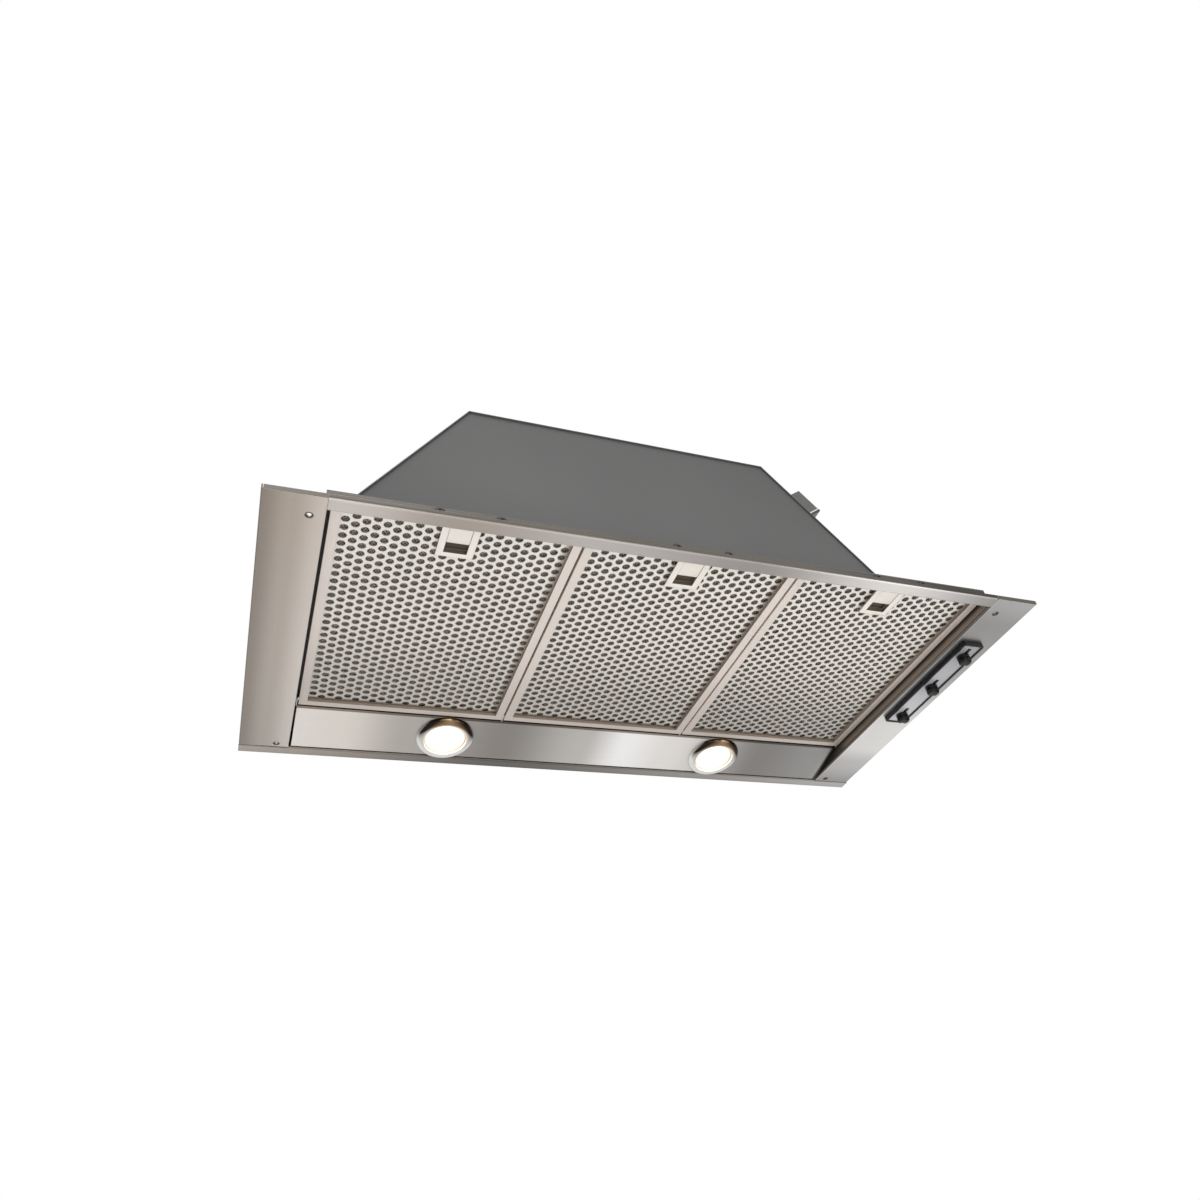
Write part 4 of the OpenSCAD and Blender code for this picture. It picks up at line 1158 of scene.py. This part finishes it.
@dataclass
class Filters(Assembly):
    """The grease filters' mesh and their finger latches.

    Lengths are in millimetres. An open layer of mesh lies under a dense core, both in folds, and
    the notch in them is where the latch's pocket stands.
    """

    front: float = -169.7
    rear: float = 102.3
    width: float = 198.0
    fold: float = 9.0
    cells: tuple[int, int] = (30, 40)
    open_z: float = 15.79
    open_rise: float = 0.39
    wire: float = 0.35
    core_z: float = 16.8
    core_rise: float = 0.35
    core_thickness: float = 0.4
    notch: float = 11.9
    notch_y: float = -135.7
    rim_edge: float = 0.22
    pull_edge: float = 0.25

    def open_layer(self, x: float) -> Mesh:
        """Builds the folded layer of expanded mesh.

        Args:
            x: The filter's middle.

        Returns:
            The layer.
        """
        mesh = bmesh.new()
        bmesh.ops.create_grid(mesh, x_segments=self.cells[0], y_segments=self.cells[1], size=0.5)
        bmesh.ops.scale(mesh, verts=mesh.verts, vec=(self.width, self.rear - self.front, 1.0))
        grid = list(mesh.edges)
        bmesh.ops.poke(mesh, faces=mesh.faces)
        inner = [edge for edge in grid if edge.is_valid and len(edge.link_faces) == 2]
        bmesh.ops.dissolve_edges(mesh, edges=inner, use_verts=False)
        for vert in mesh.verts:
            phase = (vert.co.x + self.width / 2) / self.fold
            wave = abs((phase % 2) - 1) * 2 - 1
            vert.co = (vert.co.x + x, vert.co.y + (self.front + self.rear) / 2,
                       self.open_z + self.open_rise * wave)
        bmesh.ops.wireframe(mesh, faces=mesh.faces, thickness=self.wire, use_replace=True,
                            use_boundary=True, use_even_offset=False)
        self.clear_of_latch(mesh, x)
        return mesh

    def core(self, x: float) -> Mesh:
        """Builds the dense folded sheet of mesh above the open layer.

        Args:
            x: The filter's middle.

        Returns:
            The sheet.
        """
        folds = round(self.width / self.fold)
        mesh = bmesh.new()
        points = [(x - self.width / 2 + i * self.fold,
                   self.core_z + (self.core_rise if i % 2 else -self.core_rise))
                  for i in range(folds + 1)]
        rows = [[mesh.verts.new((px, y, pz + lift)) for px, pz in points]
                for y, lift in ((self.front, 0.0), (self.rear, 0.0),
                                (self.rear, self.core_thickness),
                                (self.front, self.core_thickness))]
        for one, two in zip(rows, rows[1:] + rows[:1]):
            for i in range(folds):
                mesh.faces.new((one[i], one[i + 1], two[i + 1], two[i]))
        for i in (0, folds):
            mesh.faces.new([row[i] for row in rows])
        bmesh.ops.recalc_face_normals(mesh, faces=mesh.faces)
        for place, way in (((0.0, self.notch_y, 0.0), (0.0, 1.0, 0.0)),
                           ((x - self.notch, 0.0, 0.0), (1.0, 0.0, 0.0)),
                           ((x + self.notch, 0.0, 0.0), (1.0, 0.0, 0.0))):
            bmesh.ops.bisect_plane(mesh, geom=mesh.verts[:] + mesh.edges[:] + mesh.faces[:],
                                   plane_co=place, plane_no=way)
        self.clear_of_latch(mesh, x)
        return mesh

    def clear_of_latch(self, mesh: Mesh, x: float) -> None:
        """Takes away the faces where the latch's pocket stands.

        Args:
            mesh: The layer or sheet.
            x: The filter's middle.
        """
        gone = [face for face in mesh.faces
                if abs(face.calc_center_median().x - x) < self.notch
                and face.calc_center_median().y < self.notch_y]
        bmesh.ops.delete(mesh, geom=gone, context="FACES")

    def build(self) -> None:
        """Builds the mesh and the latch of each filter."""
        for number, (x, _) in enumerate(FILTERS, 1):
            body, node = f"filter_{number}", f"filter_mesh_{number}"
            self.join(f"expanded_mesh_{number}", self.open_layer(x), body, "filter_mesh", node)
            core = self.join(f"mesh_core_{number}", self.core(x), body, "filter_mesh", node)
            self.wardrobe.dress(core, MESH_STRANDS)
            for name, source, edge, carrier in (
                    ("latch_rim", "latch_plate", self.rim_edge, "filter"),
                    ("latch_slide", "latch_pull", self.pull_edge, "latch")):
                self.join(f"{name}_{number}", softened(f"{source}_{number}", edge),
                          f"{carrier}_{number}", "latch_metal", f"{source}_{number}")


@dataclass
class Studio:
    """White surroundings, soft lights and the camera at the photograph's angle.

    The camera looks against back, with up as its upper side. Lengths are in metres.
    """

    back: Triple = (-0.32711, -0.70760, -0.62634)
    up: Triple = (-0.11928, -0.62658, 0.77017)
    place: Triple = (-0.33953, -0.68997, -0.50947)
    lens: float = 27.2071
    sensor: float = 36.0
    clip: Point = (0.01, 50.0)
    sky_tint: Colour = (1.0, 0.985, 0.97)
    sky_levels: tuple[Point, ...] = ((0.0, 0.34), (0.42, 0.52), (0.62, 0.85), (1.0, 0.95))
    room_tone: Colour = (0.02, 0.02, 0.02)
    room_reach: Point = (0.8, 0.93)
    floor_z: float = -1.25
    floor_size: float = 6.0
    floor_shares: Point = (0.86, 0.9)
    aim: Triple = (0.0, 0.0, 0.05)

    def build(self) -> None:
        """Builds the whole studio."""
        self.camera()
        self.world()
        self.floor()
        self.light("key_light", (-0.4, -2.6, -1.1), size=2.0, power=40.0)
        self.light("fill_light", (1.6, -1.6, -0.7), size=1.4, power=10.0)
        self.light("top_light", (-0.5, -0.9, 1.5), size=1.4, power=18.0)
        bpy.context.scene.view_settings.view_transform = "Standard"

    def camera(self) -> None:
        """Builds the camera."""
        data = bpy.data.cameras.new("camera")
        data.lens, data.sensor_width = self.lens, self.sensor
        data.clip_start, data.clip_end = self.clip
        back = Vector(self.back)
        right = Vector(self.up).cross(back).normalized()
        up = back.cross(right).normalized()
        turn = Matrix((right, up, back.normalized())).transposed()
        camera = bpy.data.objects.new("camera", data)
        camera.matrix_world = Matrix.Translation(self.place) @ turn.to_4x4()
        bpy.context.scene.collection.objects.link(camera)
        bpy.context.scene.camera = camera

    def world(self) -> None:
        """Builds white surroundings, mirrored as a pale top, a darker foot and a dark room."""
        world = bpy.data.worlds.new("studio")
        world.use_nodes = True
        nodes = Nodes(world.node_tree)
        way = nodes.coordinates("Generated")
        sky = nodes.ramp(nodes.share(nodes.part(way, Z), -1.0, 1.0),
                         [(place, shade(self.sky_tint, level)) for place, level in self.sky_levels])
        room = nodes.share(nodes.dot(way, self.back), *self.room_reach)
        seen = nodes.add("ShaderNodeLightPath").outputs["Is Camera Ray"]
        colour = nodes.mix(seen, nodes.mix(room, sky, self.room_tone), WHITE)
        background = nodes.add("ShaderNodeBackground", Color=colour)
        nodes.add("ShaderNodeOutputWorld", Surface=background.outputs[0])
        bpy.context.scene.world = world

    def floor(self) -> None:
        """Builds a plain pale floor."""
        mesh = bmesh.new()
        bmesh.ops.create_grid(mesh, x_segments=8, y_segments=8, size=self.floor_size)
        bmesh.ops.translate(mesh, verts=mesh.verts, vec=(0.0, 0.0, self.floor_z))
        data = bpy.data.meshes.new("floor")
        mesh.to_mesh(data)
        mesh.free()
        plane = bpy.data.objects.new("floor", data)
        bpy.context.scene.collection.objects.link(plane)
        recipe = Recipe("floor")
        tone = recipe.mottle(recipe.noise(Noise(3.0)), WHITE, *self.floor_shares)
        data.materials.append(recipe.finish(Base_Color=tone, Roughness=0.8))

    def light(self, name: str, place: Triple, size: float, power: float) -> None:
        """Builds a square soft light aimed at the hood.

        Args:
            name: The light's name.
            place: Its centre.
            size: Its side.
            power: Its power in watts.
        """
        data = bpy.data.lights.new(name, "AREA")
        data.shape, data.size, data.energy = "SQUARE", size, power
        lamp = bpy.data.objects.new(name, data)
        lamp.location = place
        lamp.rotation_mode = "QUATERNION"
        lamp.rotation_quaternion = (Vector(self.aim) - Vector(place)).to_track_quat("-Z", "Y")
        bpy.context.scene.collection.objects.link(lamp)


def main() -> None:
    """Builds the scene in order and reports each step."""
    logging.basicConfig(level=logging.INFO, format="%(message)s")
    wardrobe = Wardrobe()
    wardrobe.dress_frame()
    log.info("frame dressed")
    for assembly in (Lamps, Controls, WallScrews, Filters):
        assembly(wardrobe).build()
    Studio().build()
    log.info("studio built")


if __name__ == "__main__":
    main()
